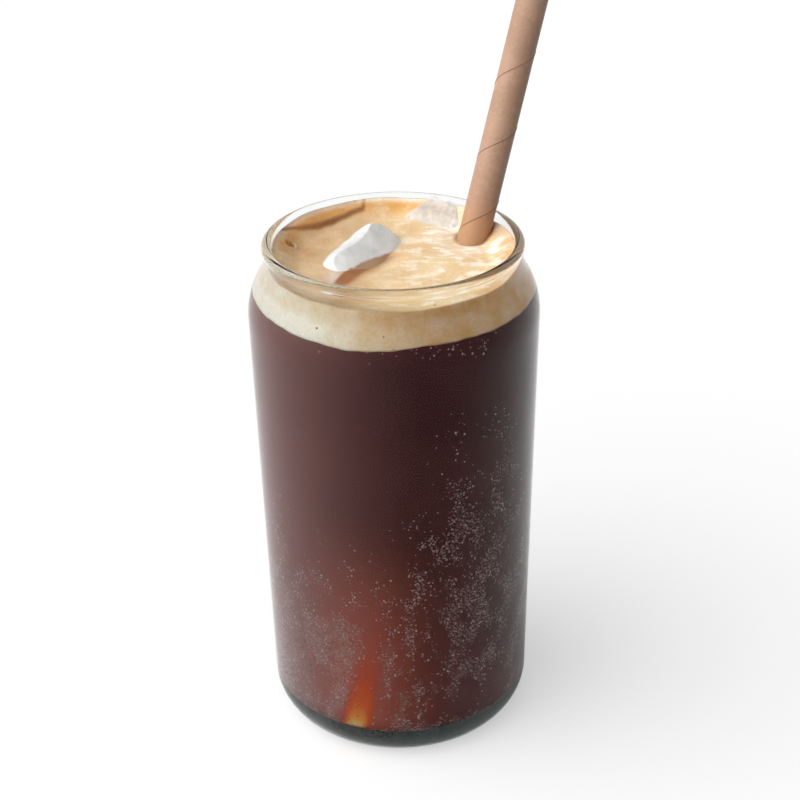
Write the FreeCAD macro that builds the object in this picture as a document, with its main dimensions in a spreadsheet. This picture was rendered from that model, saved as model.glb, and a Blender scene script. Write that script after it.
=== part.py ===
"""Espresso tonic with ice, foam and a paper straw in a can-shaped glass.

The frame has +Z up and its origin at the middle of the glass's foot, on the surface it
stands on.  All sizes are millimetres and live in the spreadsheet "Sizes"; pieces that
fit another piece take their size and place from the same cells and a named clearance.
"""

import FreeCAD, Part
import math
import os

import Sketcher
from FreeCAD import Vector

SIZES = {
    # glass, outside
    "glass_height": 136.8,
    "body_radius": 37.0,        # at the start of the shoulder
    "wall_lean": 1.0,           # degrees the body narrows towards the foot
    "foot_inset": 7.35,         # from the body radius to the edge of the foot
    "foot_round": 11.0,         # large rounding between the foot and the wall
    "foot_edge_round": 1.2,     # softening of the two edges of the resting ring
    "ring_width": 7.65,         # flat ring that the glass stands on
    "punt_depth": 1.4,          # hollow under the foot
    "neck_inset": 4.5,          # the neck is this much narrower than the body
    "shoulder_drop": 19.8,      # from the lip's top down to the start of the shoulder
    "shoulder_round": 20.0,     # outer rounding of the shoulder
    "collar_round": 11.2,       # hollow rounding between the shoulder and the neck
    # glass, inside
    "wall": 2.2,
    "floor_height": 7.0,
    "corner_round": 6.0,
    "bead_proud": 0.3,          # the lip's bead stands out this far past the neck
    # straw
    "straw_diameter": 8.0,
    "straw_wall": 0.5,
    "straw_length": 197.0,
    "straw_gap": 0.3,           # clearance to the glass at the floor
    "straw_rest_gap": 0.6,      # clearance to the neck, level with the lip's bead
    "straw_rest_azimuth": 32.0,
    "straw_foot_inset": 6.1,    # from the sharp corner of the floor to the straw's axis
    "straw_foot_azimuth": -117.4,
    # levels
    "headroom": 5.2,            # from the lip's top down to the middle of the foam
    "foam_depth": 8.6,          # from the middle of the foam down to the drink
    # foam's uneven top
    "foam_rise": 0.03,          # rise per millimetre towards the back
    "foam_climb": 2.9,          # how far the foam climbs the wall at the back
    "climb_width": 7.0,
    "climb_y": -8.0,            # the climb is half its full height here
    "climb_soft": 10.0,
    "ledge_width": 4.6,         # thicker foam that clings to the wall at the back left
    "ledge_azimuth": 127.5,
    "ledge_rise": 1.4,
    "ledge_soft": 0.9,
    "ripple": 0.2,
    "ripple_length": 19.0,
    "hollow_depth": 0.9,        # stained hollow along the front ice
    "hollow_width": 3.2,
    "hollow_length": 10.0,
    "hollow_azimuth": 52.0,
    "hollow_x": -5.0,
    "hollow_y": -4.5,
    "dip_depth": 1.6,           # dip round the straw
    "dip_radius": 7.0,
    "foam_step": 2.0,           # spacing of the points that shape the foam's top
    "crater_radius": 1.7,       # burst bubble at the left
    "crater_wall_gap": 3.8,
    "crater_azimuth": 167.5,
    "crater_rise": 1.9,
    # ice
    "ice_wall_gap": 0.5,        # melted clearance to the neck's inner wall
    "ice_straw_gap": 0.5,       # melted clearance round the straw
    "front_ice_width": 22.0,
    "front_ice_depth": 24.0,
    "front_ice_height": 22.0,
    "front_ice_round": 4.0,
    "front_ice_dome": 55.0,     # radius that melting gives its top
    "front_ice_offset": 2.1,    # distance of its top's middle from the glass's axis
    "front_ice_azimuth": -143.0,
    "front_ice_rise": -1.8,     # how far its top's middle stands above the foam's middle
    "front_ice_turn": -24.3,
    "front_ice_pitch": 42.3,
    "front_ice_roll": 11.0,
    "back_ice_width": 17.6,
    "back_ice_depth": 14.9,
    "back_ice_height": 15.0,
    "back_ice_round": 3.0,
    "back_ice_dome": 29.0,
    "back_ice_inset": 5.3,      # from the neck's inner wall to the middle of its top
    "back_ice_azimuth": 57.6,
    "back_ice_rise": 2.0,
    "back_ice_turn": -46.7,
    "back_ice_pitch": 20.0,
    "back_ice_roll": 22.0,
}

NECK_RADIUS = "(Sizes.body_radius - Sizes.neck_inset)"
NECK_INNER = "(Sizes.body_radius - Sizes.neck_inset - Sizes.wall)"
SHOULDER_Z = "(Sizes.glass_height - Sizes.shoulder_drop)"
BEAD_ROUND = "((Sizes.wall + Sizes.bead_proud) / 2)"
FOAM_Z = "(Sizes.glass_height - Sizes.headroom)"
DRINK_Z = "(Sizes.glass_height - Sizes.headroom - Sizes.foam_depth)"


def make_sheet(doc):
    """Write every driving size into the spreadsheet under its own alias."""
    sheet = doc.addObject("Spreadsheet::Sheet", "Sizes")
    for row, (name, value) in enumerate(SIZES.items(), start=1):
        sheet.set(f"A{row}", name)
        sheet.set(f"B{row}", str(value))
        sheet.setAlias(f"B{row}", name)
    doc.recompute()
    return sheet


def add(doc, kind, name, expressions=None, **properties):
    """Add a document object and bind its properties to the sheet."""
    item = doc.addObject(kind, name)
    for key, value in properties.items():
        setattr(item, key, value)
    for key, text in (expressions or {}).items():
        item.setExpression(key, text)
    return item


class Profile:
    """A closed half section in a body's XZ plane, turned about the body's Z axis.

    Sketch x is the radius and sketch y the height.  Each call adds the next edge of the
    outline and joins it to the last one.
    """

    def __init__(self, doc, name, start):
        self.body = doc.addObject("PartDesign::Body", name)
        self.sketch = self.body.newObject("Sketcher::SketchObject", name + "Section")
        plane = next(f for f in self.body.Origin.OriginFeatures if f.Role == "XZ_Plane")
        self.sketch.AttachmentSupport = [(plane, "")]
        self.sketch.MapMode = "FlatFace"
        self.at = start

    def line(self, end, smooth=False):
        """Add a straight edge to `end`; `smooth` makes it tangent to the last edge."""
        edge = Part.LineSegment(Vector(*self.at, 0), Vector(*end, 0))
        return self._append(edge, 1, 2, end, smooth)

    def arc(self, centre, end, clockwise, smooth=False):
        """Add an arc about `centre` to `end`."""
        begin_angle = math.atan2(self.at[1] - centre[1], self.at[0] - centre[0])
        end_angle = math.atan2(end[1] - centre[1], end[0] - centre[0])
        radius = math.dist(self.at, centre)
        circle = Part.Circle(Vector(*centre, 0), Vector(0, 0, 1), radius)
        if clockwise:
            edge = Part.ArcOfCircle(circle, end_angle, begin_angle)
            return self._append(edge, 2, 1, end, smooth)
        edge = Part.ArcOfCircle(circle, begin_angle, end_angle)
        return self._append(edge, 1, 2, end, smooth)

    def _append(self, edge, first, last, end, smooth):
        index = self.sketch.addGeometry(edge, False)
        if index > 0:
            kind = "Tangent" if smooth else "Coincident"
            self.constrain(kind, index - 1, self.last, index, first)
        else:
            self.first = (index, first)
        self.last = last
        self.at = end
        return index

    def close(self):
        """Join the last edge to the first."""
        index = self.sketch.GeometryCount - 1
        self.constrain("Coincident", index, self.last, *self.first)

    def constrain(self, kind, *where, to=None):
        """Add a constraint; `to` binds its value to an expression."""
        if to is None:
            self.sketch.addConstraint(Sketcher.Constraint(kind, *where))
            return
        value = self.value(to)
        if kind == "Angle":
            value = math.radians(value)
        index = self.sketch.addConstraint(Sketcher.Constraint(kind, *where, value))
        self.sketch.setExpression(f"Constraints[{index}]", to)

    def value(self, text):
        """Return an expression's present value."""
        result = self.sketch.evalExpression(text)
        return getattr(result, "Value", result)

    def on_axis(self, edge, height):
        """Put an edge on the turning axis, its last point at a height."""
        self.constrain("PointOnObject", edge, 1, -2)
        self.constrain("PointOnObject", edge, 2, -2)
        self.constrain("DistanceY", -1, 1, edge, 2, to=height)

    def revolve(self):
        """Turn the section through a full circle."""
        turn = self.body.newObject("PartDesign::Revolution", self.body.Name + "Turned")
        turn.Profile = self.sketch
        turn.ReferenceAxis = (self.sketch, ["V_Axis"])
        turn.Angle = 360
        return turn


def side_points(s, offset):
    """Return the corner points and arc centres of a side that lies `offset` inside."""
    lean = math.radians(s.wall_lean)
    shoulder_z = s.glass_height - s.shoulder_drop
    out = (math.cos(lean), -math.sin(lean))
    shoulder = (s.body_radius - s.shoulder_round * out[0],
                shoulder_z - s.shoulder_round * out[1])
    neck = s.body_radius - s.neck_inset
    collar_x = neck + s.collar_round
    reach = s.shoulder_round + s.collar_round
    across = collar_x - shoulder[0]
    collar = (collar_x, shoulder[1] + math.sqrt(reach ** 2 - across ** 2))
    towards = (across / reach, (collar[1] - shoulder[1]) / reach)
    radius = s.shoulder_round - offset
    wall_top = (shoulder[0] + radius * out[0], shoulder[1] + radius * out[1])
    bend = (shoulder[0] + radius * towards[0], shoulder[1] + radius * towards[1])
    return {"shoulder": shoulder, "collar": collar, "wall_top": wall_top, "bend": bend,
            "neck": (neck - offset, collar[1]), "lean": lean}


def fix_side(profile, shoulder, collar, neck, offset):
    """Bind a side's shoulder, collar and neck, `offset` inside the outline."""
    p = profile
    p.constrain("Radius", shoulder, to=f"Sizes.shoulder_round - {offset}")
    p.constrain("DistanceX", -1, 1, shoulder, 3,
                to="Sizes.body_radius - Sizes.shoulder_round * cos(Sizes.wall_lean)")
    p.constrain("DistanceY", -1, 1, shoulder, 3,
                to=f"{SHOULDER_Z} + Sizes.shoulder_round * sin(Sizes.wall_lean)")
    p.constrain("Radius", collar, to=f"Sizes.collar_round + {offset}")
    p.constrain("Vertical", neck)
    p.constrain("DistanceX", -1, 1, collar, 3, to=f"{NECK_RADIUS} + Sizes.collar_round")


def foot_arc(s, outer):
    """Return the centre and top of the large rounding between foot and wall."""
    lean = outer["lean"]
    normal = (math.cos(lean), -math.sin(lean))
    top = outer["wall_top"]
    foot_x = s.body_radius - s.foot_inset
    # The centre lies foot_round inside the wall's line and as far from the foot's edge.
    low, high = 0.0, s.foot_round
    for _ in range(60):
        height = (low + high) / 2
        wall_x = top[0] - (top[1] - height) * math.tan(lean)
        centre = (wall_x - s.foot_round / normal[0], height)
        if math.dist(centre, (foot_x, 0)) < s.foot_round:
            low = height
        else:
            high = height
    touch = (centre[0] + s.foot_round * normal[0], centre[1] + s.foot_round * normal[1])
    return centre, touch


def corner_arc(s, inner):
    """Return the centre and top of the rounding between floor and inner wall."""
    lean = inner["lean"]
    height = s.floor_height + s.corner_round
    wall_x = inner["wall_top"][0] - (inner["wall_top"][1] - height) * math.tan(lean)
    centre = (wall_x - s.corner_round / math.cos(lean), height)
    return centre, (centre[0] + s.corner_round * math.cos(lean),
                    centre[1] - s.corner_round * math.sin(lean))


def make_glass(doc, s):
    """Can-shaped glass: punted foot, leaning wall, S-shaped shoulder, neck and bead."""
    outer = side_points(s, 0.0)
    inner = side_points(s, s.wall)
    bead = (s.wall + s.bead_proud) / 2
    bead_z = s.glass_height - bead
    bead_x = inner["neck"][0] + bead
    # The bead meets the neck's outside below its own middle.
    tuck = math.sqrt(bead ** 2 - (outer["neck"][0] - bead_x) ** 2)
    punt_radius = s.body_radius - s.foot_inset - s.ring_width
    punt_round = (punt_radius ** 2 + s.punt_depth ** 2) / (2 * s.punt_depth)
    foot_centre, foot_top = foot_arc(s, outer)
    corner_centre, corner_top = corner_arc(s, inner)

    p = Profile(doc, "glass", (0.0, s.punt_depth))
    punt = p.arc((0.0, s.punt_depth - punt_round), (punt_radius, 0.0), clockwise=True)
    ring = p.line((s.body_radius - s.foot_inset, 0.0))
    foot = p.arc(foot_centre, foot_top, clockwise=False)
    wall = p.line(outer["wall_top"], smooth=True)
    shoulder = p.arc(outer["shoulder"], outer["bend"], clockwise=False, smooth=True)
    collar = p.arc(outer["collar"], outer["neck"], clockwise=True, smooth=True)
    neck = p.line((outer["neck"][0], bead_z - tuck), smooth=True)
    lip = p.arc((bead_x, bead_z), (inner["neck"][0], bead_z), clockwise=False)
    neck_in = p.line(inner["neck"], smooth=True)
    collar_in = p.arc(inner["collar"], inner["bend"], clockwise=False, smooth=True)
    shoulder_in = p.arc(inner["shoulder"], inner["wall_top"], clockwise=True, smooth=True)
    wall_in = p.line(corner_top, smooth=True)
    corner = p.arc(corner_centre, (corner_centre[0], s.floor_height), clockwise=True,
                   smooth=True)
    floor = p.line((0.0, s.floor_height), smooth=True)
    axis = p.line((0.0, s.punt_depth))
    p.close()

    p.on_axis(axis, "Sizes.punt_depth")
    p.constrain("PointOnObject", punt, 3, -2)
    p.constrain("PointOnObject", ring, 1, -1)
    p.constrain("PointOnObject", ring, 2, -1)
    p.constrain("DistanceX", ring, 1, ring, 2, to="Sizes.ring_width")
    p.constrain("DistanceX", -1, 1, ring, 2, to="Sizes.body_radius - Sizes.foot_inset")
    p.constrain("Radius", foot, to="Sizes.foot_round")
    p.constrain("Angle", wall, to="90 - Sizes.wall_lean")
    fix_side(p, shoulder, collar, neck, "0")
    p.constrain("Radius", lip, to=BEAD_ROUND)
    p.constrain("DistanceY", -1, 1, lip, 3, to=f"Sizes.glass_height - {BEAD_ROUND}")
    p.constrain("Parallel", wall, wall_in)
    fix_side(p, shoulder_in, collar_in, neck_in, "Sizes.wall")
    p.constrain("Radius", corner, to="Sizes.corner_round")
    p.constrain("Horizontal", floor)
    p.constrain("DistanceY", -1, 1, floor, 2, to="Sizes.floor_height")
    turned = p.revolve()
    doc.recompute()

    ring_edges = [f"Edge{number}" for number, edge in enumerate(turned.Shape.Edges, start=1)
                  if edge.BoundBox.ZMax < 0.01 and edge.BoundBox.XMax > 1.0]
    softened = p.body.newObject("PartDesign::Fillet", "FootSoftened")
    softened.Base = (turned, ring_edges)
    softened.setExpression("Radius", "Sizes.foot_edge_round")
    return p.body


def make_cavity(doc, s):
    """The room inside the glass up to its lip, which the drink and the foam fill."""
    inner = side_points(s, s.wall)
    corner_centre, corner_top = corner_arc(s, inner)
    p = Profile(doc, "cavity", (0.0, s.floor_height))
    floor = p.line((corner_centre[0], s.floor_height))
    corner = p.arc(corner_centre, corner_top, clockwise=False, smooth=True)
    wall = p.line(inner["wall_top"], smooth=True)
    shoulder = p.arc(inner["shoulder"], inner["bend"], clockwise=False, smooth=True)
    collar = p.arc(inner["collar"], inner["neck"], clockwise=True, smooth=True)
    neck = p.line((inner["neck"][0], s.glass_height), smooth=True)
    top = p.line((0.0, s.glass_height))
    axis = p.line((0.0, s.floor_height))
    p.close()

    p.on_axis(axis, "Sizes.floor_height")
    p.constrain("Horizontal", floor)
    p.constrain("Radius", corner, to="Sizes.corner_round")
    p.constrain("Angle", wall, to="90 - Sizes.wall_lean")
    fix_side(p, shoulder, collar, neck, "Sizes.wall")
    p.constrain("Horizontal", top)
    p.constrain("DistanceY", -1, 1, top, 2, to="Sizes.glass_height")
    p.revolve()
    return p.body


def make_straw(doc):
    """Paper straw from the floor's edge to the lip; returns the tube and its outside."""
    foot = ("(Sizes.body_radius - Sizes.wall - Sizes.straw_foot_inset"
            f" - ({SHOULDER_Z} - Sizes.floor_height) * tan(Sizes.wall_lean))")
    rest = f"({NECK_INNER} - Sizes.straw_diameter / 2 - Sizes.straw_rest_gap)"
    axis = add(doc, "Part::Line", "StrawAxis", {
        "X1": f"{foot} * cos(Sizes.straw_foot_azimuth)",
        "Y1": f"{foot} * sin(Sizes.straw_foot_azimuth)",
        "Z1": "Sizes.floor_height",
        "X2": f"{rest} * cos(Sizes.straw_rest_azimuth)",
        "Y2": f"{rest} * sin(Sizes.straw_rest_azimuth)",
        "Z2": f"Sizes.glass_height - {BEAD_ROUND}"})
    # The leaning tube stands on the low edge of its end, a clearance above the floor.
    lift = ("Sizes.straw_gap + Sizes.straw_diameter / 2 * sqrt((StrawAxis.X2 - StrawAxis.X1)^2"
            " + (StrawAxis.Y2 - StrawAxis.Y1)^2) / (StrawAxis.Z2 - StrawAxis.Z1)")

    def rod(name, radius):
        return add(doc, "Part::Cylinder", name,
                   {"Radius": radius, "Height": "Sizes.straw_length",
                    "AttachmentOffset.Base.z": lift},
                   AttachmentSupport=[(axis, "Edge1")], MapMode="NormalToEdge",
                   MapReversed=True)

    outside = rod("StrawOutside", "Sizes.straw_diameter / 2")
    bore = rod("StrawBore", "Sizes.straw_diameter / 2 - Sizes.straw_wall")
    room = rod("StrawRoom", "Sizes.straw_diameter / 2 + Sizes.ice_straw_gap")
    return add(doc, "Part::Cut", "straw", Base=outside, Tool=bore), outside, room


def make_ice_room(doc, straw_room):
    """The room that ice can fill: inside the neck's wall and clear of the straw."""
    neck = add(doc, "Part::Cylinder", "InsideNeck", {
        "Radius": f"{NECK_INNER} - Sizes.ice_wall_gap", "Height": "Sizes.glass_height"})
    return add(doc, "Part::Cut", "IceRoom", Base=neck, Tool=straw_room)


def make_ice(doc, name, centre_radius, room):
    """A melting ice block: a box with rounded edges and a domed top, kept in its room.

    Its local origin is the middle of its top, so the placement sets how that stands.
    """
    def size(word):
        return f"Sizes.{name}_{word}"

    box = add(doc, "Part::Box", name + "_box", {
        "Length": size("width"), "Width": size("depth"), "Height": size("height"),
        "Placement.Base.x": f"-{size('width')} / 2",
        "Placement.Base.y": f"-{size('depth')} / 2",
        "Placement.Base.z": f"-{size('height')}"})
    doc.recompute()
    rounded = doc.addObject("Part::Fillet", name + "_rounded")
    rounded.Base = box
    edge_round = doc.getObject("Sizes").get(f"{name}_round")
    rounded.Edges = [(number, edge_round, edge_round)
                     for number in range(1, len(box.Shape.Edges) + 1)]
    dome = add(doc, "Part::Sphere", name + "_dome", {
        "Radius": size("dome"), "Placement.Base.z": f"-{size('dome')}"})
    azimuth = size("azimuth")
    turn = f"rotation({size('turn')}; {size('pitch')}; {size('roll')})"
    top = f"{FOAM_Z} + {size('rise')}"
    block = add(doc, "Part::Common", name + "_block", {
        "Placement": f"placement(vector({centre_radius} * cos({azimuth});"
                     f" {centre_radius} * sin({azimuth}); {top}); {turn})"},
        Base=rounded, Tool=dome)
    return add(doc, "Part::Common", name, Base=block, Tool=room)


def smooth_step(value):
    """Return a smooth rise from 0 to 1 as the value goes from -1 to 1."""
    share = min(max((value + 1) / 2, 0.0), 1.0)
    return share * share * (3 - 2 * share)


def straw_crossing(s):
    """Return where the straw's axis crosses the level of the foam's middle."""
    neck = s.body_radius - s.neck_inset - s.wall
    drop = s.glass_height - s.shoulder_drop - s.floor_height
    foot = s.body_radius - s.wall - s.straw_foot_inset - drop * math.tan(
        math.radians(s.wall_lean))
    rest = neck - s.straw_diameter / 2 - s.straw_rest_gap
    rise = s.glass_height - (s.wall + s.bead_proud) / 2 - s.floor_height
    share = (s.glass_height - s.headroom - s.floor_height) / rise
    low, high = math.radians(s.straw_foot_azimuth), math.radians(s.straw_rest_azimuth)
    return ((1 - share) * foot * math.cos(low) + share * rest * math.cos(high),
            (1 - share) * foot * math.sin(low) + share * rest * math.sin(high))


def foam_height(s, x, y):
    """Return the height of the foam's top over a point of the surface below."""
    neck = s.body_radius - s.neck_inset - s.wall
    level = s.glass_height - s.headroom + s.foam_rise * y
    outward = smooth_step(1 - 2 * (neck - math.hypot(x, y)) / s.climb_width)
    climb = outward * smooth_step((y - s.climb_y) / s.climb_soft)
    ledge = math.radians(s.ledge_azimuth)
    past = x * math.cos(ledge) + y * math.sin(ledge) - (neck - s.ledge_width)
    level += s.foam_climb * climb
    level += s.ledge_rise * smooth_step(past / s.ledge_soft) * (1 - climb)
    wave = 2 * math.pi / s.ripple_length
    level += s.ripple * math.sin(wave * x) * math.cos(wave * (y - x / 3))
    # The hollow is a trough along the front ice, fading out at both ends.
    turn = math.radians(s.hollow_azimuth)
    along = (x - s.hollow_x) * math.cos(turn) + (y - s.hollow_y) * math.sin(turn)
    across = (y - s.hollow_y) * math.cos(turn) - (x - s.hollow_x) * math.sin(turn)
    fade = (along / s.hollow_length) ** 2 + (across / s.hollow_width) ** 2
    level -= s.hollow_depth * math.exp(-fade)
    straw_x, straw_y = straw_crossing(s)
    near = math.hypot(x - straw_x, y - straw_y) / s.dip_radius
    return level - s.dip_depth * math.exp(-near ** 2)


def make_foam_blank(doc, s):
    """Solid from the drink's level up to the foam's uneven top, wider than the glass."""
    reach = s.body_radius
    steps = int(2 * reach / s.foam_step)
    places = [reach * (2 * index / steps - 1) for index in range(steps + 1)]
    surface = Part.BSplineSurface()
    surface.interpolate([[Vector(x, y, foam_height(s, x, y)) for y in places]
                         for x in places])
    depth = s.foam_depth + s.glass_height
    block = surface.toShape().extrude(Vector(0, 0, -depth))
    floor = s.glass_height - s.headroom - s.foam_depth
    above = Part.makeBox(4 * reach, 4 * reach, s.glass_height,
                         Vector(-2 * reach, -2 * reach, floor))
    blank = doc.addObject("Part::Feature", "FoamBlank")
    blank.Shape = block.common(above)
    return blank


def main():
    """Build the document, check it and write one STEP file for each piece."""
    os.makedirs("parts", exist_ok=True)
    doc = FreeCAD.newDocument("EspressoTonic")
    sheet = make_sheet(doc)
    glass = make_glass(doc, sheet)
    cavity = make_cavity(doc, sheet)
    straw, straw_outside, straw_room = make_straw(doc)
    ice_room = make_ice_room(doc, straw_room)
    front = make_ice(doc, "front_ice", "Sizes.front_ice_offset", ice_room)
    back = make_ice(doc, "back_ice", f"({NECK_INNER} - Sizes.back_ice_inset)", ice_room)

    # Drink: the room below its level, less the straw's wall and the ice.
    below = add(doc, "Part::Box", "BelowDrinkLevel", {
        "Length": "4 * Sizes.body_radius", "Width": "4 * Sizes.body_radius",
        "Height": DRINK_Z,
        "Placement.Base.x": "-2 * Sizes.body_radius",
        "Placement.Base.y": "-2 * Sizes.body_radius"})
    drink_blank = add(doc, "Part::Common", "DrinkBlank", Base=cavity, Tool=below)
    in_drink = add(doc, "Part::MultiFuse", "InDrink", Shapes=[straw, front, back])
    drink = add(doc, "Part::Cut", "drink", Base=drink_blank, Tool=in_drink)

    # Foam: the room between the drink and the uneven top, less the straw, ice and crater.
    foam_room = add(doc, "Part::Common", "FoamRoom", Base=cavity,
                    Tool=make_foam_blank(doc, sheet))
    crater_r = f"({NECK_INNER} - Sizes.crater_wall_gap)"
    crater = add(doc, "Part::Sphere", "Crater", {
        "Radius": "Sizes.crater_radius",
        "Placement.Base.x": f"{crater_r} * cos(Sizes.crater_azimuth)",
        "Placement.Base.y": f"{crater_r} * sin(Sizes.crater_azimuth)",
        "Placement.Base.z": f"{FOAM_Z} + Sizes.crater_rise"})
    in_foam = add(doc, "Part::MultiFuse", "InFoam",
                  Shapes=[straw_outside, front, back, crater])
    foam = add(doc, "Part::Cut", "foam", Base=foam_room, Tool=in_foam)
    doc.recompute()

    for item in doc.Objects:
        if {"Invalid", "Error"} & set(item.State):
            raise RuntimeError(f"{item.Name} failed: {item.State}")
    for piece in (glass, drink, foam, front, back, straw):
        if piece.Shape.isNull() or not piece.Shape.isValid():
            raise RuntimeError(f"{piece.Label} has no valid shape")
        print(piece.Label, len(piece.Shape.Solids), round(piece.Shape.Volume, 1),
              piece.Shape.optimalBoundingBox())
        piece.Shape.exportStep(f"parts/{piece.Label}.step")


if __name__ == "__main__":
    main()
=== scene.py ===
"""Looks of an iced espresso tonic: clear glass, coffee, foam, ice and a paper straw.

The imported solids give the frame.  Every size below is in millimetres and repeats the
named sizes of the solids; meshes are turned to metres where they are made.
"""

import logging
import math
from dataclasses import dataclass, field
from enum import Enum

import bpy
import numpy as np
from mathutils import Euler, Matrix, Vector, noise


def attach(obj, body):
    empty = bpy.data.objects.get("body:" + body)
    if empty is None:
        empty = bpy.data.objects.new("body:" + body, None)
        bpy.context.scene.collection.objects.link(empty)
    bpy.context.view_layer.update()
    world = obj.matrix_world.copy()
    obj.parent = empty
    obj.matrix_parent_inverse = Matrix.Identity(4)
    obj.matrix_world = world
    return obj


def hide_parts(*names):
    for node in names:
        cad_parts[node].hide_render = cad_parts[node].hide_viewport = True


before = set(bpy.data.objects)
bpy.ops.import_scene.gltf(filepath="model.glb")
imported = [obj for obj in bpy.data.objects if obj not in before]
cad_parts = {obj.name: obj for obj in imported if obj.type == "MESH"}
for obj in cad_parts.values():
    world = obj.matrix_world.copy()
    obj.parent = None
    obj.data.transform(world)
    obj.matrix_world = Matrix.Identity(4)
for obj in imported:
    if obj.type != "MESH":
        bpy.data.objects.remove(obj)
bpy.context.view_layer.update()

log = logging.getLogger("espresso_tonic")

MM = 0.001
BODY = "root"
# Numbers of the Mix node's sockets, whose names it gives to several of them.
SHARE, FIRST, SECOND, MIXED = 0, 6, 7, 2


class Slot(Enum):
    """Material slots of the record."""

    GLASS = "clear_glass"
    COFFEE = "coffee"
    FOAM = "foam"
    ICE = "ice"
    PAPER = "paper"


# ---------------------------------------------------------------------------- helpers

def srgb(code: str, alpha: float = 1.0) -> tuple[float, float, float, float]:
    """Turn an sRGB hex colour to linear values.

    Args:
        code: colour as "#rrggbb".
        alpha: fourth value of the result.

    Returns:
        Linear red, green and blue, and alpha.
    """
    parts = [int(code[i:i + 2], 16) / 255 for i in (1, 3, 5)]
    linear = [p / 12.92 if p <= 0.04045 else ((p + 0.055) / 1.055) ** 2.4 for p in parts]
    return (*linear, alpha)


def add_node(tree: bpy.types.NodeTree, kind: str, inputs: dict | None = None,
             stops: tuple[tuple[float, str], ...] = (), **settings: object
             ) -> bpy.types.Node:
    """Add a node with its settings, values and links.

    Args:
        tree: node tree to add to.
        kind: node type.
        inputs: values or sockets for its inputs, by name or number.
        stops: places from 0 to 1 and sRGB colours, where the node is a colour ramp.
        **settings: properties of the node.

    Returns:
        The new node.
    """
    node = tree.nodes.new(kind)
    if stops:
        ramp = node.color_ramp
        while len(ramp.elements) < len(stops):
            ramp.elements.new(1.0)
        for element, (place, code) in zip(ramp.elements, stops):
            element.position = place
            element.color = srgb(code)
    for name, value in settings.items():
        setattr(node, name, value)
    for key, value in (inputs or {}).items():
        if isinstance(value, bpy.types.NodeSocket):
            tree.links.new(value, node.inputs[key])
        else:
            node.inputs[key].default_value = value
    return node


def lay_coats(tree: bpy.types.NodeTree, base: object,
              *coats: tuple[object, object]) -> bpy.types.NodeSocket:
    """Lay coats of colour over a base colour, each over the last.

    Args:
        tree: node tree to add to.
        base: colour or socket.
        *coats: share and colour of each coat; a share is a number, a socket or the name
            of a mesh attribute, and a colour is a hex code, a value or a socket.

    Returns:
        The finished colour's socket.
    """
    colour = srgb(base) if isinstance(base, str) else base
    for share, coat in coats:
        if isinstance(share, str):
            share = add_node(tree, "ShaderNodeAttribute",
                             attribute_name=share).outputs["Fac"]
        if isinstance(coat, str):
            coat = srgb(coat)
        colour = add_node(tree, "ShaderNodeMix",
                          {SHARE: share, FIRST: colour, SECOND: coat},
                          data_type="RGBA").outputs[MIXED]
    return colour


def new_material(name: str) -> tuple[bpy.types.Material, bpy.types.NodeTree,
                                     bpy.types.Node]:
    """Make an empty material with a Principled shader.

    Args:
        name: name of the material.

    Returns:
        The material, its node tree and the shader node.
    """
    material = bpy.data.materials.new(name)
    material.use_nodes = True
    tree = material.node_tree
    tree.nodes.clear()
    shader = add_node(tree, "ShaderNodeBsdfPrincipled")
    add_node(tree, "ShaderNodeOutputMaterial", {"Surface": shader.outputs["BSDF"]})
    return material, tree, shader


def smooth_step(value: np.ndarray, none: float, full: float) -> np.ndarray:
    """Go smoothly from 0 at `none` to 1 at `full`, which may be the lower of the two.

    Args:
        value: values to map.
        none: value that gives 0.
        full: value that gives 1.

    Returns:
        Shares from 0 to 1.
    """
    share = np.clip((value - none) / (full - none), 0.0, 1.0)
    return share * share * (3 - 2 * share)


def hump(value: np.ndarray, middle: float, spread: float) -> np.ndarray:
    """Return 1 at `middle`, falling softly to about a third at `spread` from it."""
    return np.exp(-((value - middle) / spread) ** 2)


def grain(points: np.ndarray, size: float, depth: int = 3, seed: float = 0.0) -> np.ndarray:
    """Sample soft fractal noise.

    Args:
        points: array of places in millimetres.
        size: size of the largest lumps.
        depth: number of octaves.
        seed: shift that gives another pattern.

    Returns:
        One value from about -1 to 1 for each place.
    """
    shift = Vector((seed * 7.3, seed * 3.1, seed * 5.7))
    return np.array([noise.fractal(Vector(p) / size + shift, 1.0, 2.0, depth,
                                   noise_basis="PERLIN_ORIGINAL") for p in points])


def mesh_object(name: str, points: np.ndarray, faces: list[tuple[int, ...]],
                layers: dict[str, np.ndarray] | None = None) -> bpy.types.Object:
    """Make a smooth mesh object from points in millimetres.

    Args:
        name: name of the object.
        points: places of the vertices.
        faces: vertex numbers of each face.
        layers: float attributes of the vertices.

    Returns:
        The new object, linked to the scene.
    """
    mesh = bpy.data.meshes.new(name)
    mesh.from_pydata((np.asarray(points) * MM).tolist(), [], faces)
    mesh.polygons.foreach_set("use_smooth", [True] * len(mesh.polygons))
    for key, values in (layers or {}).items():
        layer = mesh.attributes.new(key, "FLOAT", "POINT")
        layer.data.foreach_set("value", np.asarray(values, dtype=np.float32))
    mesh.update()
    piece = bpy.data.objects.new(name, mesh)
    bpy.context.scene.collection.objects.link(piece)
    return piece


def ring_faces(rings: int, around: int) -> list[tuple[int, ...]]:
    """Return the quads between neighbouring rings of a turned surface.

    Args:
        rings: number of rings, from the first to the last.
        around: points on each ring.

    Returns:
        Vertex numbers of each quad.
    """
    faces = []
    for ring in range(rings - 1):
        for step in range(around):
            after = (step + 1) % around
            faces.append((ring * around + step, ring * around + after,
                          (ring + 1) * around + after, (ring + 1) * around + step))
    return faces


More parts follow.
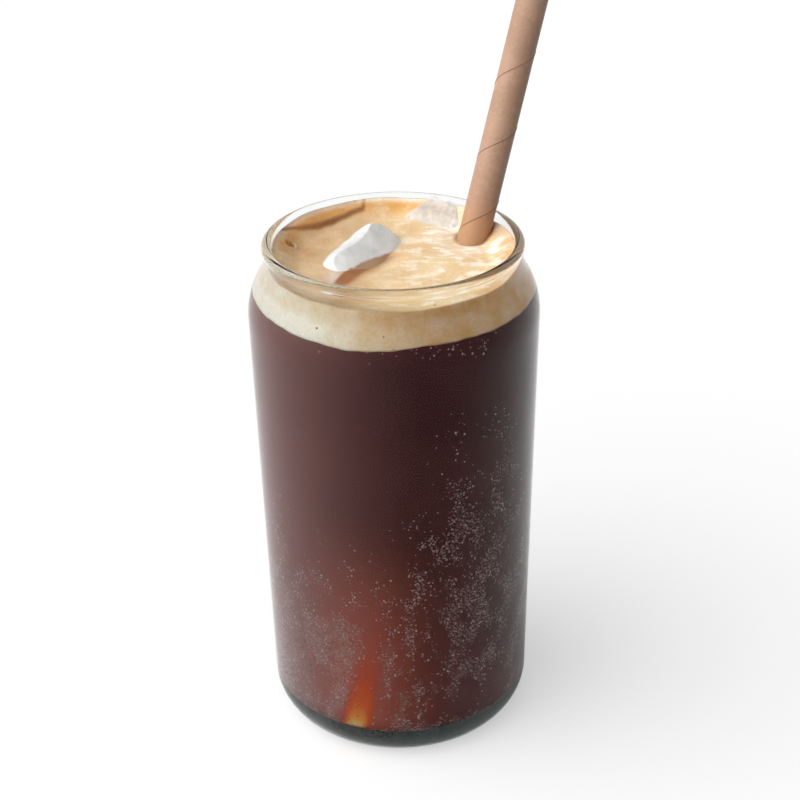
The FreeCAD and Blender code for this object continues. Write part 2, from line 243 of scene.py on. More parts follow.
def turned_mesh(name: str, radii: np.ndarray, heights: np.ndarray,
                layers: dict[str, np.ndarray] | None = None) -> bpy.types.Object:
    """Make a closed turned form whose outline runs from axis to axis, bottom first.

    Args:
        name: name of the object.
        radii: radius of each ring and step, without the two poles.
        heights: height of each ring and step, without the two poles.
        layers: attributes of each ring and step.

    Returns:
        The new object; each pole is one vertex at its ring's mean height.
    """
    rings, around = radii.shape
    angles = np.linspace(0, 2 * math.pi, around, endpoint=False)
    points = np.stack([radii * np.cos(angles), radii * np.sin(angles), heights], axis=2)
    points = points.reshape(-1, 3)
    faces = ring_faces(rings, around)
    first, last = len(points), len(points) + 1
    poles = [[0, 0, heights[0].mean()], [0, 0, heights[-1].mean()]]
    for step in range(around):
        after = (step + 1) % around
        faces.append((first, after, step))
        top = (rings - 1) * around
        faces.append((last, top + step, top + after))
    flat = {key: np.append(values.reshape(-1), [values[0].mean(), values[-1].mean()])
            for key, values in (layers or {}).items()}
    return mesh_object(name, np.vstack([points, poles]), faces, flat)


def dress(piece: bpy.types.Object, material: bpy.types.Material, slot: Slot,
          *nodes: str) -> bpy.types.Object:
    """Give a piece its material, hang it on the body and hide the solids that it stands
    for.

    Args:
        piece: finished piece.
        material: its material.
        slot: not used.
        *nodes: solids that it stands for.

    Returns:
        The same piece.
    """
    piece.data.materials.clear()
    piece.data.materials.append(material)
    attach(piece, BODY)
    if nodes:
        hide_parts(*nodes)
    log.info("%s: %d faces", piece.name, len(piece.data.polygons))
    return piece


# --------------------------------------------------------------------------- finishes

@dataclass(frozen=True)
class SodaGlass:
    """Pressed soda-lime glass: clear where it is thin, grey-green where it is thick.

    The volume takes up light over a long path, so the lip's ends and the thick floor turn
    dark grey-green while the walls stay clear.
    """

    tint: str = "#fcfefd"
    ior: float = 1.5
    gloss: str = "#2e3133"
    take_up: str = "#87a3a3"
    take_up_per_mm: float = 0.022

    def material(self) -> bpy.types.Material:
        """Make the finish.

        Returns:
            The finish as a material.
        """
        material, tree, shader = new_material("soda_glass")
        shader.inputs["Base Color"].default_value = srgb(self.tint)
        shader.inputs["Transmission Weight"].default_value = 1.0
        shader.inputs["Roughness"].default_value = 0.0
        shader.inputs["IOR"].default_value = self.ior
        shader.inputs["Specular Tint"].default_value = srgb(self.gloss)
        depth = add_node(tree, "ShaderNodeVolumeAbsorption",
                         {"Color": srgb(self.take_up),
                          "Density": self.take_up_per_mm / MM})
        output = next(n for n in tree.nodes if n.type == "OUTPUT_MATERIAL")
        tree.links.new(depth.outputs["Volume"], output.inputs["Volume"])
        return material


@dataclass(frozen=True)
class Coffee:
    """Espresso in tonic water: nearly black, with red-brown painted light low on the lit
    front left.

    Fine suspended oils scatter a little light, so it is a dark satin brown and not a
    black mirror; it grows redder towards the foot. A painted reflection pales the left
    side, a painted pale underside stands for light through the foot, and the straw's end
    is painted on as a glow.
    """

    depths: tuple[tuple[float, str], ...] = (
        (0.0, "#64302e"), (0.45, "#58302d"), (1.0, "#502d2f"))
    # Painted light: red laid low on the lit front left.
    warm: str = "#b0543f"
    # Painted reflection: pale red over the left side.
    painted_reflection: str = "#b58580"
    # Painted light: the pale underside seen through the foot, bluer at the front right.
    foot: str = "#f2f6ee"
    painted_foot_light: str = "#f2faff"
    haze: str = "#c2aeaa"
    # Painted glow of the lit straw's end seen through the drink.
    painted_straw_colours: tuple[tuple[float, str], ...] = (
        (0.1, "#a24a36"), (0.35, "#bc4c2c"), (0.62, "#d05c28"), (0.82, "#e4903e"),
        (0.96, "#f6d088"))
    painted_straw_edge: tuple[float, float] = (0.04, 0.45)
    roughness: float = 0.5
    swirl: float = 26.0
    haze_grain: float = 0.9

    def material(self) -> bpy.types.Material:
        """Make the finish.

        Returns:
            The finish as a material.
        """
        material, tree, shader = new_material("espresso_tonic")
        place = add_node(tree, "ShaderNodeTexCoord").outputs["Object"]
        height, haze, glow = [
            add_node(tree, "ShaderNodeAttribute", attribute_name=name).outputs["Fac"]
            for name in ("height", "haze", "painted_straw_glow")]
        deep = add_node(tree, "ShaderNodeValToRGB", {"Fac": height}, self.depths)
        cloud = add_node(tree, "ShaderNodeTexNoise",
                         {"Vector": place, "Scale": 1 / (self.swirl * MM), "Detail": 2.0,
                          "Roughness": 0.5})
        shade = add_node(tree, "ShaderNodeValToRGB", {"Fac": cloud.outputs["Fac"]},
                         ((0.3, "#b4b4b4"), (0.7, "#ffffff")))
        swirled = add_node(tree, "ShaderNodeMix",
                           {SHARE: 0.6, FIRST: deep.outputs["Color"],
                            SECOND: shade.outputs["Color"]},
                           data_type="RGBA", blend_type="MULTIPLY")
        # Painted light in the underside, seen through the foot.
        foot = lay_coats(tree, self.foot, ("painted_foot_light", self.painted_foot_light))
        # Clouds of bubbles too fine to see singly whiten the coffee at the wall; their
        # grain is drawn as coarse as it needs to be to show.
        fine = add_node(tree, "ShaderNodeTexNoise",
                        {"Vector": place, "Scale": 1 / (self.haze_grain * MM),
                         "Detail": 3.0})
        specks = add_node(tree, "ShaderNodeValToRGB", {"Fac": fine.outputs["Fac"]},
                          ((0.38, "#000000"), (0.72, "#ffffff")))
        cloudy = add_node(tree, "ShaderNodeMath", {0: haze, 1: specks.outputs["Color"]},
                          operation="MULTIPLY")
        # Painted glow of the lit straw's end through the drink.
        painted_straw_colours = add_node(tree, "ShaderNodeValToRGB", {"Fac": glow}, self.painted_straw_colours)
        none, full = self.painted_straw_edge
        lit = add_node(tree, "ShaderNodeMapRange",
                       {"Value": glow, "From Min": none, "From Max": full},
                       interpolation_type="SMOOTHSTEP")
        body = lay_coats(tree, swirled.outputs[MIXED], ("painted_light_red", self.warm),
                         ("painted_reflection", self.painted_reflection), ("foot", foot),
                         (cloudy.outputs[0], self.haze),
                         (lit.outputs["Result"], painted_straw_colours.outputs["Color"]))
        tree.links.new(body, shader.inputs["Base Color"])
        shader.inputs["Roughness"].default_value = self.roughness
        shader.inputs["Specular IOR Level"].default_value = 0.0
        return material


@dataclass(frozen=True)
class CoffeeFoam:
    """Espresso crema worked into tonic: tan froth with cream streaks and brown staining;
    the cream also holds painted light and the brown painted shade.
    """

    tan: str = "#edd2a8"
    # Also laid on the band's lit left as painted light.
    cream: str = "#fff9ec"
    # Also laid on the band's right as painted shade.
    crema: str = "#e0aa60"
    # Brown staining, also laid as painted shade on the ledge's step, the hollow, the froth
    # line and the band's right.
    stain_and_shade: str = "#a06c45"
    froth_shade: str = "#efe8dc"
    pore_shade: str = "#8a6136"
    froth: float = 0.8
    froth_relief: float = 0.12
    pore: float = 0.4
    pore_spacing: float = 6.0
    light_depth: float = 1.2

    def material(self) -> bpy.types.Material:
        """Make the finish.

        Returns:
            The finish as a material.
        """
        material, tree, shader = new_material("coffee_foam")
        place = add_node(tree, "ShaderNodeTexCoord").outputs["Object"]
        colour = lay_coats(tree, self.tan, ("crema", self.crema), ("cream", self.cream),
                           ("stain_and_shade", self.stain_and_shade))
        # Bubbles of just under a millimetre give a fine mottle and the odd dark pore.
        froth = add_node(tree, "ShaderNodeTexVoronoi",
                         {"Vector": place, "Scale": 1 / (self.froth * MM)}, feature="F1")
        mottle = add_node(tree, "ShaderNodeValToRGB", {"Fac": froth.outputs["Distance"]},
                          ((0.1, "#ffffff"), (0.9, self.froth_shade)))
        mottled = add_node(tree, "ShaderNodeMix",
                           {SHARE: 0.6, FIRST: colour, SECOND: mottle.outputs["Color"]},
                           data_type="RGBA", blend_type="MULTIPLY")
        pores = add_node(tree, "ShaderNodeTexVoronoi",
                         {"Vector": place, "Scale": 1 / (self.pore_spacing * MM)},
                         feature="F1")
        size = self.pore / self.pore_spacing
        pore = add_node(tree, "ShaderNodeMapRange",
                        {"Value": pores.outputs["Distance"], "From Min": size,
                         "From Max": 0.4 * size}, interpolation_type="SMOOTHSTEP")
        colour = lay_coats(tree, mottled.outputs[MIXED],
                           (pore.outputs["Result"], self.pore_shade))
        tree.links.new(colour, shader.inputs["Base Color"])
        shader.inputs["Roughness"].default_value = 0.55
        shader.inputs["Specular IOR Level"].default_value = 0.15
        shader.inputs["Subsurface Weight"].default_value = 0.25
        shader.inputs["Subsurface Scale"].default_value = self.light_depth * MM
        bump = add_node(tree, "ShaderNodeBump",
                        {"Height": froth.outputs["Distance"], "Strength": 0.25,
                         "Distance": self.froth_relief * MM})
        tree.links.new(bump.outputs["Normal"], shader.inputs["Normal"])
        return material


@dataclass(frozen=True)
class WetIce:
    """Melting ice: a wet clear skin over a heart that is milky with trapped air."""

    name: str
    clearness: float
    milk: str = "#fcfdfd"
    shade: str = "#e3e8e8"
    streak: float = 8.0
    bump: float = 0.12
    # Darker brown froth on the ice: staining and painted shade.
    froth: str = "#bd9164"
    melt: float = 2.8
    melt_relief: float = 0.9

    def material(self) -> bpy.types.Material:
        """Make the finish.

        Returns:
            The finish as a material.
        """
        material, tree, shader = new_material(self.name)
        place = add_node(tree, "ShaderNodeTexCoord").outputs["Object"]
        cloud = add_node(tree, "ShaderNodeTexNoise",
                         {"Vector": place, "Scale": 1 / (self.streak * MM), "Detail": 4.0,
                          "Roughness": 0.6, "Distortion": 0.8})
        milky = add_node(tree, "ShaderNodeValToRGB", {"Fac": cloud.outputs["Fac"]},
                         ((0.32, self.shade), (0.58, self.milk)))
        colour = lay_coats(tree, milky.outputs["Color"], ("froth", self.froth))
        tree.links.new(colour, shader.inputs["Base Color"])
        shader.inputs["Transmission Weight"].default_value = self.clearness
        shader.inputs["Roughness"].default_value = 0.07
        shader.inputs["IOR"].default_value = 1.31
        ripple = add_node(tree, "ShaderNodeTexNoise",
                          {"Vector": place, "Scale": 1 / (self.melt * MM), "Detail": 1.0})
        bump = add_node(tree, "ShaderNodeBump",
                        {"Height": ripple.outputs["Fac"], "Strength": self.bump,
                         "Distance": self.melt_relief * MM})
        tree.links.new(bump.outputs["Normal"], shader.inputs["Normal"])
        return material


@dataclass(frozen=True)
class KraftPaper:
    """Wound brown kraft paper: matt and warm, with short fibres in soft clouds.

    Loose fibre ends on the skin catch grazing light as a faint sheen.
    """

    base: str = "#b08d76"
    fibre: str = "#9c775e"
    wet: str = "#ae8260"
    fibre_length: float = 0.9
    fibre_relief: float = 0.04
    cloud: float = 9.0

    def material(self) -> bpy.types.Material:
        """Make the finish.

        Returns:
            The finish as a material.
        """
        material, tree, shader = new_material("kraft_paper")
        place = add_node(tree, "ShaderNodeTexCoord").outputs["Object"]
        fibres = add_node(tree, "ShaderNodeTexNoise",
                          {"Vector": place, "Scale": 1 / (self.fibre_length * MM),
                           "Detail": 3.0, "Roughness": 0.6})
        drift = add_node(tree, "ShaderNodeTexNoise",
                         {"Vector": place, "Scale": 1 / (self.cloud * MM), "Detail": 1.0})
        both = add_node(tree, "ShaderNodeMath",
                        {0: fibres.outputs["Fac"], 1: drift.outputs["Fac"]},
                        operation="MULTIPLY")
        share = add_node(tree, "ShaderNodeMapRange",
                         {"Value": both.outputs[0], "From Min": 0.18, "From Max": 0.36},
                         interpolation_type="SMOOTHSTEP")
        fibrous = lay_coats(tree, self.base, (share.outputs["Result"], self.fibre))
        colour = lay_coats(tree, self.base, (0.5, fibrous), ("wet", self.wet))
        tree.links.new(colour, shader.inputs["Base Color"])
        shader.inputs["Roughness"].default_value = 0.5
        shader.inputs["Specular IOR Level"].default_value = 0.3
        shader.inputs["Sheen Weight"].default_value = 0.45
        shader.inputs["Sheen Roughness"].default_value = 0.3
        bump = add_node(tree, "ShaderNodeBump",
                        {"Height": fibres.outputs["Fac"], "Strength": 0.2,
                         "Distance": self.fibre_relief * MM})
        tree.links.new(bump.outputs["Normal"], shader.inputs["Normal"])
        return material


@dataclass(frozen=True)
class PlainFinish:
    """A satin finish that lies between two colours by each small piece's own shine."""

    name: str
    dark: str
    light: str
    roughness: float = 0.4

    def material(self) -> bpy.types.Material:
        """Make the finish.

        Returns:
            The finish as a material.
        """
        material, tree, shader = new_material(self.name)
        colour = lay_coats(tree, self.dark, ("shine", self.light))
        tree.links.new(colour, shader.inputs["Base Color"])
        shader.inputs["Roughness"].default_value = self.roughness
        shader.inputs["Specular IOR Level"].default_value = 0.25
        return material


# ------------------------------------------------------------------------------ glass

@dataclass
class CanGlass:
    """Can-shaped glass: punted foot, leaning wall, S-shaped shoulder, neck and bead."""

    height: float = 136.8
    body_radius: float = 37.0
    wall_lean: float = 1.0
    foot_inset: float = 7.35
    foot_round: float = 11.0
    foot_edge_round: float = 1.2
    ring_width: float = 7.65
    punt_depth: float = 1.4
    neck_inset: float = 4.5
    shoulder_drop: float = 19.8
    shoulder_round: float = 20.0
    collar_round: float = 11.2
    wall: float = 2.2
    floor_height: float = 7.0
    corner_round: float = 6.0
    bead_proud: float = 0.3
    floor_steps: tuple[float, ...] = (0.0, 0.35, 0.7)
    wall_steps: tuple[float, ...] = (0.3, 0.65)
    around: int = 224
    finish: SodaGlass = field(default_factory=SodaGlass)

    @staticmethod
    def arc(centre: tuple[float, float], radius: float, start: float, end: float,
            count: int = 14) -> list[tuple[float, float]]:
        """Return points of an arc.

        Args:
            centre: its centre.
            radius: its radius.
            start: first angle in degrees.
            end: last angle in degrees.
            count: number of points.

        Returns:
            Points from the first angle to the last.
        """
        turns = np.radians(np.linspace(start, end, count))
        return [(centre[0] + radius * math.cos(a), centre[1] + radius * math.sin(a))
                for a in turns]

    def side(self, offset: float) -> list[tuple[float, float]]:
        """Return shoulder and collar, from the wall's top to the neck.

        Args:
            offset: how far inside the outline the points lie.

        Returns:
            Points of the outline, upwards.
        """
        lean = math.radians(self.wall_lean)
        start = self.height - self.shoulder_drop
        shoulder = (self.body_radius - self.shoulder_round * math.cos(lean),
                    start + self.shoulder_round * math.sin(lean))
        neck = self.body_radius - self.neck_inset
        reach = self.shoulder_round + self.collar_round
        across = neck + self.collar_round - shoulder[0]
        bend = math.degrees(math.acos(across / reach))
        collar = (neck + self.collar_round,
                  shoulder[1] + reach * math.sin(math.radians(bend)))
        return (self.arc(shoulder, self.shoulder_round - offset, -self.wall_lean, bend)
                + self.arc(collar, self.collar_round + offset, 180 + bend, 180)[1:])

    def inner_outline(self) -> list[tuple[float, float]]:
        """Return the inside from the floor's middle to the neck below the bead.

        Returns:
            Points of the outline, upwards.
        """
        side = self.side(self.wall)
        lean = math.radians(self.wall_lean)
        height = self.floor_height + self.corner_round
        wall_x = side[0][0] - (side[0][1] - height) * math.tan(lean)
        centre = (wall_x - self.corner_round / math.cos(lean), height)
        corner = self.arc(centre, self.corner_round, -90, -self.wall_lean)
        flat = [(share * centre[0], self.floor_height) for share in self.floor_steps]
        wall = [self.between(corner[-1], side[0], share) for share in self.wall_steps]
        return flat + corner + wall + side

    def outer_outline(self) -> list[tuple[float, float]]:
        """Return the outside from the punt's middle to the neck below the bead.

        Returns:
            Points of the outline, upwards.
        """
        side = self.side(0.0)
        lean = math.radians(self.wall_lean)
        tangent = math.tan(lean)
        foot_x = self.body_radius - self.foot_inset
        # The foot's arc touches the leaning wall and ends at the flat ring's edge.
        shift = (side[0][0] - side[0][1] * tangent - foot_x
                 - self.foot_round / math.cos(lean))
        root = ((shift * tangent) ** 2
                - (1 + tangent ** 2) * (shift ** 2 - self.foot_round ** 2))
        height = (math.sqrt(root) - shift * tangent) / (1 + tangent ** 2)
        centre = (foot_x + shift + height * tangent, height)
        first = -math.degrees(math.asin(height / self.foot_round))
        foot = self.arc(centre, self.foot_round, first + 6, -self.wall_lean, 16)
        ring = foot_x - self.ring_width
        punt_round = (ring ** 2 + self.punt_depth ** 2) / (2 * self.punt_depth)
        turn = math.degrees(math.asin(ring / punt_round))
        punt = self.arc((0.0, self.punt_depth - punt_round), punt_round, 90, 90 - turn, 9)
        edge = self.foot_edge_round
        soft = [(ring + 0.3 * edge, 0.0), (foot_x - 0.45 * edge, 0.0),
                (foot_x + 0.05 * edge, 0.13 * edge)]
        wall = [self.between(foot[-1], side[0], share) for share in self.wall_steps]
        return punt[:-1] + soft + foot + wall + side

    @staticmethod
    def between(first: tuple[float, float], second: tuple[float, float],
                share: float) -> tuple[float, float]:
        """Return the point that lies a share of the way from one point to another."""
        return (first[0] + (second[0] - first[0]) * share,
                first[1] + (second[1] - first[1]) * share)

    def bead(self) -> list[tuple[float, float]]:
        """Return the rounded lip.

        Returns:
            Points from the neck's outside over the top to its inside.
        """
        radius = (self.wall + self.bead_proud) / 2
        inner = self.body_radius - self.neck_inset - self.wall
        centre = (inner + radius, self.height - radius)
        tuck = math.degrees(math.acos((radius - self.bead_proud) / radius))
        return self.arc(centre, radius, -tuck, 180, 22)

    def inner_radius(self, heights: np.ndarray) -> np.ndarray:
        """Return the inside radius at some heights."""
        outline = self.inner_outline()[2:] + [self.bead()[-1]]
        return np.interp(heights, [p[1] for p in outline], [p[0] for p in outline])

    def build(self) -> bpy.types.Object:
        """Build and dress the glass.

        Returns:
            The glass as one closed piece.
        """
        outline = self.outer_outline()[1:] + self.bead() + self.inner_outline()[::-1][:-1]
        radii = np.array([[p[0]] * self.around for p in outline])
        heights = np.array([[p[1]] * self.around for p in outline])
        piece = turned_mesh("can_glass", radii, heights)
        for vertex, height in ((-2, self.punt_depth), (-1, self.floor_height)):
            piece.data.vertices[len(piece.data.vertices) + vertex].co.z = height * MM
        return dress(piece, self.finish.material(), Slot.GLASS, "glass")


# ------------------------------------------------------------------------------ straw

@dataclass
class PaperStraw:
    """Wound paper straw that leans from the floor's edge to the lip."""

    diameter: float = 8.0
    wall: float = 0.5
    length: float = 197.0
    gap: float = 0.3
    rest_gap: float = 0.6
    rest_azimuth: float = 32.0
    foot_inset: float = 6.1
    foot_azimuth: float = -117.4
    seam_pitch: float = 19.2
    seam_start: float = 10.5
    seam_width: float = 0.22
    seam_proud: float = 0.06
    seam_sunk: float = 0.02
    seam_paper: PlainFinish = PlainFinish("seam_paper", "#7f5c42", "#8d694d", 0.8)
    finish: KraftPaper = field(default_factory=KraftPaper)
    cut_round: float = 0.12
    wet_from: float = 134.5
    wet_to: float = 141.5
    rows: int = 60
    around: int = 72
    glass: CanGlass = field(default_factory=CanGlass)

    def __post_init__(self) -> None:
        """Work out the line of the straw from the glass."""
        g = self.glass
        neck = g.body_radius - g.neck_inset - g.wall
        drop = (g.height - g.shoulder_drop - g.floor_height) * math.tan(
            math.radians(g.wall_lean))
        foot = g.body_radius - g.wall - self.foot_inset - drop
        rest = neck - self.diameter / 2 - self.rest_gap
        low = self.polar(foot, self.foot_azimuth, g.floor_height)
        high = self.polar(rest, self.rest_azimuth, g.height - (g.wall + g.bead_proud) / 2)
        self.direction = (high - low).normalized()
        flat = math.hypot(self.direction.x, self.direction.y) / self.direction.z
        self.foot = low + self.direction * (self.gap + self.diameter / 2 * flat)

    @staticmethod
    def polar(radius: float, azimuth: float, height: float) -> Vector:
        """Return a point from its radius, azimuth in degrees and height."""
        turn = math.radians(azimuth)
        return Vector((radius * math.cos(turn), radius * math.sin(turn), height))

    def placing(self) -> Matrix:
        """Return the matrix that puts a straw standing at the origin into the glass.

        Returns:
            A matrix in metres.
        """
        lean = math.acos(self.direction.z)
        azimuth = math.atan2(self.direction.y, self.direction.x)
        turn = Matrix.Rotation(azimuth, 4, "Z") @ Matrix.Rotation(lean, 4, "Y")
        return Matrix.Translation(self.foot * MM) @ turn

    def tube(self) -> bpy.types.Object:
        """Build the tube with softly cut ends, standing at the origin.

        Returns:
            The tube, not yet dressed.
        """
        outside = self.diameter / 2
        inside = outside - self.wall
        cut = self.cut_round
        rows = np.linspace(cut, self.length - cut, self.rows)
        outline = ([(inside, row) for row in rows[::-1]]
                   + [(inside + cut, 0.0), (outside - cut, 0.0)]
                   + [(outside, row) for row in rows]
                   + [(outside - cut, self.length), (inside + cut, self.length)])
        angles = np.linspace(0, 2 * math.pi, self.around, endpoint=False)
        points = np.array([[r * math.cos(a), r * math.sin(a), z]
                           for r, z in outline for a in angles])
        faces = ring_faces(len(outline), self.around)
        last = (len(outline) - 1) * self.around
        for step in range(self.around):
            after = (step + 1) % self.around
            faces.append((last + step, last + after, after, step))
        height = self.foot.z + points[:, 2] * self.direction.z
        wet = 1 - smooth_step(height, self.wet_from, self.wet_to)
        return mesh_object("paper_straw", points, faces, {"wet": wet})

    def seam_tree(self, material: bpy.types.Material) -> bpy.types.NodeTree:
        """Make the geometry nodes that wind a raised seam round the straw.

        Args:
            material: material of the seam.

        Returns:
            The node tree, whose inputs are the seam's sizes in metres.
        """
        tree = bpy.data.node_groups.new("wound_seam", "GeometryNodeTree")
        face = tree.interface
        face.new_socket("Geometry", in_out="OUTPUT", socket_type="NodeSocketGeometry")
        for name in ("Radius", "Length", "Turns", "Width", "Proud"):
            face.new_socket(name, in_out="INPUT", socket_type="NodeSocketFloat")
        face.new_socket("Left hand", in_out="INPUT", socket_type="NodeSocketBool")
        given = add_node(tree, "NodeGroupInput").outputs
        spiral = add_node(tree, "GeometryNodeCurveSpiral",
                          {"Resolution": 48, "Rotations": given["Turns"],
                           "Start Radius": given["Radius"], "End Radius": given["Radius"],
                           "Height": given["Length"], "Reverse": given["Left hand"]})
        strip = add_node(tree, "GeometryNodeCurvePrimitiveQuadrilateral",
                         {"Width": given["Proud"], "Height": given["Width"]})
        band = add_node(tree, "GeometryNodeCurveToMesh",
                        {"Curve": spiral.outputs["Curve"],
                         "Profile Curve": strip.outputs["Curve"], "Fill Caps": True})
        real = add_node(tree, "GeometryNodeRealizeInstances",
                        {"Geometry": band.outputs["Mesh"]})
        done = add_node(tree, "GeometryNodeSetMaterial",
                        {"Geometry": real.outputs["Geometry"], "Material": material})
        add_node(tree, "NodeGroupOutput", {"Geometry": done.outputs["Geometry"]})
        return tree

    def build(self) -> list[bpy.types.Object]:
        """Build and dress the straw and its wound seam.

        Returns:
            The tube and the seam.
        """
        tube = self.tube()
        tube.data.transform(self.placing())
        dress(tube, self.finish.material(), Slot.PAPER, "straw")
        seam_paper = self.seam_paper.material()
        inset = self.seam_start
        span = self.length - 2 * inset
        seam = grown("straw_seam", self.seam_tree(seam_paper),
                     {"Radius": (self.diameter / 2 - self.seam_sunk) * MM,
                      "Length": span * MM,
                      "Turns": span / self.seam_pitch, "Width": self.seam_width * MM,
                      "Proud": 2 * self.seam_proud * MM, "Left hand": True})
        seam.data.transform(self.placing() @ Matrix.Translation((0, 0, inset * MM)))
        dress(seam, seam_paper, Slot.PAPER, "straw")
        return [tube, seam]


def grown(name: str, tree: bpy.types.NodeTree, sizes: dict[str, object],
          bed: bpy.types.Object | None = None) -> bpy.types.Object:
    """Run a geometry node tree and keep its result as a plain mesh.

    Args:
        name: name of the piece.
        tree: geometry node tree.
        sizes: values of its named inputs.
        bed: object that the tree starts from.

    Returns:
        The new piece, with no modifier.
    """
    holder = bed
    if bed is None:
        holder = bpy.data.objects.new(name + "_seed", bpy.data.meshes.new(name + "_seed"))
        bpy.context.scene.collection.objects.link(holder)
    modifier = holder.modifiers.new(name, "NODES")
    modifier.node_group = tree
    for item in tree.interface.items_tree:
        if item.item_type == "SOCKET" and item.in_out == "INPUT" and item.name in sizes:
            modifier[item.identifier] = sizes[item.name]
    bpy.context.view_layer.update()
    shown = holder.evaluated_get(bpy.context.evaluated_depsgraph_get())
    mesh = bpy.data.meshes.new_from_object(shown)
    mesh.name = name
    mesh.polygons.foreach_set("use_smooth", [True] * len(mesh.polygons))
    bpy.data.objects.remove(holder)
    piece = bpy.data.objects.new(name, mesh)
    bpy.context.scene.collection.objects.link(piece)
    return piece


# ----------------------------------------------------------------------- foam surface

@dataclass
class FoamTop:
    """Height of the foam's uneven top and of its wavy lower edge."""

    headroom: float = 5.2
    depth: float = 8.6
    rise: float = 0.03
    climb: float = 2.9
    climb_width: float = 7.0
    climb_y: float = -8.0
    climb_soft: float = 10.0
    ledge_width: float = 4.6
    ledge_azimuth: float = 127.5
    ledge_rise: float = 1.5
    ledge_soft: float = 0.55
    ledge_end: float = 12.0
    ledge_end_soft: float = 2.5
    ledge_turns_in: float = 6.0
    ledge_waves: tuple[tuple[float, float, float], ...] = (
        (0.3, 0.35, 0.0), (0.07, 1.3, 1.0))
    ripple: float = 0.2
    ripple_length: float = 19.0
    hollow_depth: float = 0.9
    hollow_width: float = 3.2
    hollow_length: float = 10.0
    hollow_azimuth: float = 52.0
    hollow_x: float = -5.0
    hollow_y: float = -4.5
    dip_depth: float = 1.6
    dip_radius: float = 7.0
    crater_radius: float = 1.2
    crater_wall_gap: float = 3.8
    crater_azimuth: float = 167.5
    crater_depth: float = 1.5
    crater_rim: float = 0.3
    edge_climb: float = 0.35
    edge_width: float = 1.2
    # Froth climbs the front ice to a line: its left end, its way and its downward side.
    froth_start: tuple[float, float, float] = (-12.2, -13.6, 132.5)
    froth_way: tuple[float, float, float] = (0.598, 0.802, 0.0)
    froth_below: tuple[float, float, float] = (0.533, -0.397, -0.748)
    froth_bulge: float = 1.3
    froth_middle: float = 9.0
    froth_reach: float = 10.0
    lower_edge: tuple[tuple[float, float], ...] = (
        (-200.0, 123.6), (-162.0, 123.1), (-145.0, 122.8), (-130.0, 122.4),
        (-118.0, 122.2), (-108.0, 121.7), (-92.0, 122.2), (-80.0, 122.9),
        (-63.0, 122.9), (-41.0, 122.8), (-19.0, 123.0), (10.0, 122.6), (60.0, 123.4),
        (110.0, 122.8), (160.0, 123.6))
    edge_blur: tuple[float, ...] = (-6, -3, 0, 3, 6)
    edge_waves: tuple[tuple[float, float, float], ...] = ((0.06, 17, 0), (0.05, 41, 1))
    glass: CanGlass = field(default_factory=CanGlass)
    straw: PaperStraw = field(default_factory=PaperStraw)

    def neck(self) -> float:
        """Return the neck's inside radius."""
        return self.glass.body_radius - self.glass.neck_inset - self.glass.wall

    def level(self) -> float:
        """Return the middle height of the foam."""
        return self.glass.height - self.headroom

    def drink_level(self, azimuth: np.ndarray) -> np.ndarray:
        """Return the drink's wavy upper edge at the wall.

        Args:
            azimuth: angles round the glass in radians.

        Returns:
            Heights of the edge.
        """
        knots, heights = zip(*self.lower_edge)
        degrees = np.degrees(azimuth)
        soft = sum(np.interp(degrees + turn, knots, heights, period=360)
                   for turn in self.edge_blur) / len(self.edge_blur)
        for size, count, start in self.edge_waves:
            soft = soft + size * np.sin(count * azimuth + start)
        return soft

    def past_ledge(self, x: np.ndarray, y: np.ndarray) -> np.ndarray:
        """Return how far places lie past the line where the foam steps up.

        Args:
            x: places to the right.
            y: places to the back.

        Returns:
            Distances that are positive on the raised side.
        """
        turn = math.radians(self.ledge_azimuth)
        along = y * math.cos(turn) - x * math.sin(turn)
        wander = sum(size * np.sin(rate * along + start)
                     for size, rate, start in self.ledge_waves)
        beyond = smooth_step(-along, self.ledge_end - self.ledge_end_soft,
                             self.ledge_end + self.ledge_end_soft)
        return (x * math.cos(turn) + y * math.sin(turn) + wander
                - self.ledge_turns_in * beyond - (self.neck() - self.ledge_width))

    def trough(self, x: np.ndarray, y: np.ndarray) -> np.ndarray:
        """Return how deep places lie in the hollow along the front ice, which is stained
        brown and given painted shade.

        Args:
            x: places to the right.
            y: places to the back.

        Returns:
            Shares from 0 to 1.
        """
        turn = math.radians(self.hollow_azimuth)
        right, back = x - self.hollow_x, y - self.hollow_y
        along = right * math.cos(turn) + back * math.sin(turn)
        across = back * math.cos(turn) - right * math.sin(turn)
        return hump(along, 0.0, self.hollow_length) * hump(across, 0.0, self.hollow_width)

    def below_froth_line(self, places: np.ndarray) -> np.ndarray:
        """Return how far places lie below the line to which froth climbs the front ice.

        Args:
            places: points in the last axis.

        Returns:
            Distances that are positive below the line.
        """
        out = (self.along_froth_line(places) - self.froth_middle) / self.froth_reach
        bow = np.clip(1 - out ** 2, 0, 1)
        return (places - self.froth_start) @ self.froth_below + self.froth_bulge * bow

    def along_froth_line(self, places: np.ndarray) -> np.ndarray:
        """Return how far places lie along that line, from its left end."""
        return (places - self.froth_start) @ self.froth_way

    def crater(self, x: np.ndarray, y: np.ndarray) -> np.ndarray:
        """Return how far places lie from the burst bubble.

        Args:
            x: places to the right.
            y: places to the back.

        Returns:
            Distances in radii of the bubble.
        """
        turn = math.radians(self.crater_azimuth)
        reach = self.neck() - self.crater_wall_gap
        away = np.hypot(x - reach * math.cos(turn), y - reach * math.sin(turn))
        return away / self.crater_radius

    def from_straw(self, x: np.ndarray, y: np.ndarray) -> np.ndarray:
        """Return distances from the straw's axis where it crosses the foam's level.

        Args:
            x: places to the right.
            y: places to the back.

        Returns:
            Distances across the level.
        """
        foot, line = self.straw.foot, self.straw.direction
        z = self.level()
        middle = foot + line * ((z - foot.z) / line.z)
        return np.hypot(x - middle.x, y - middle.y)

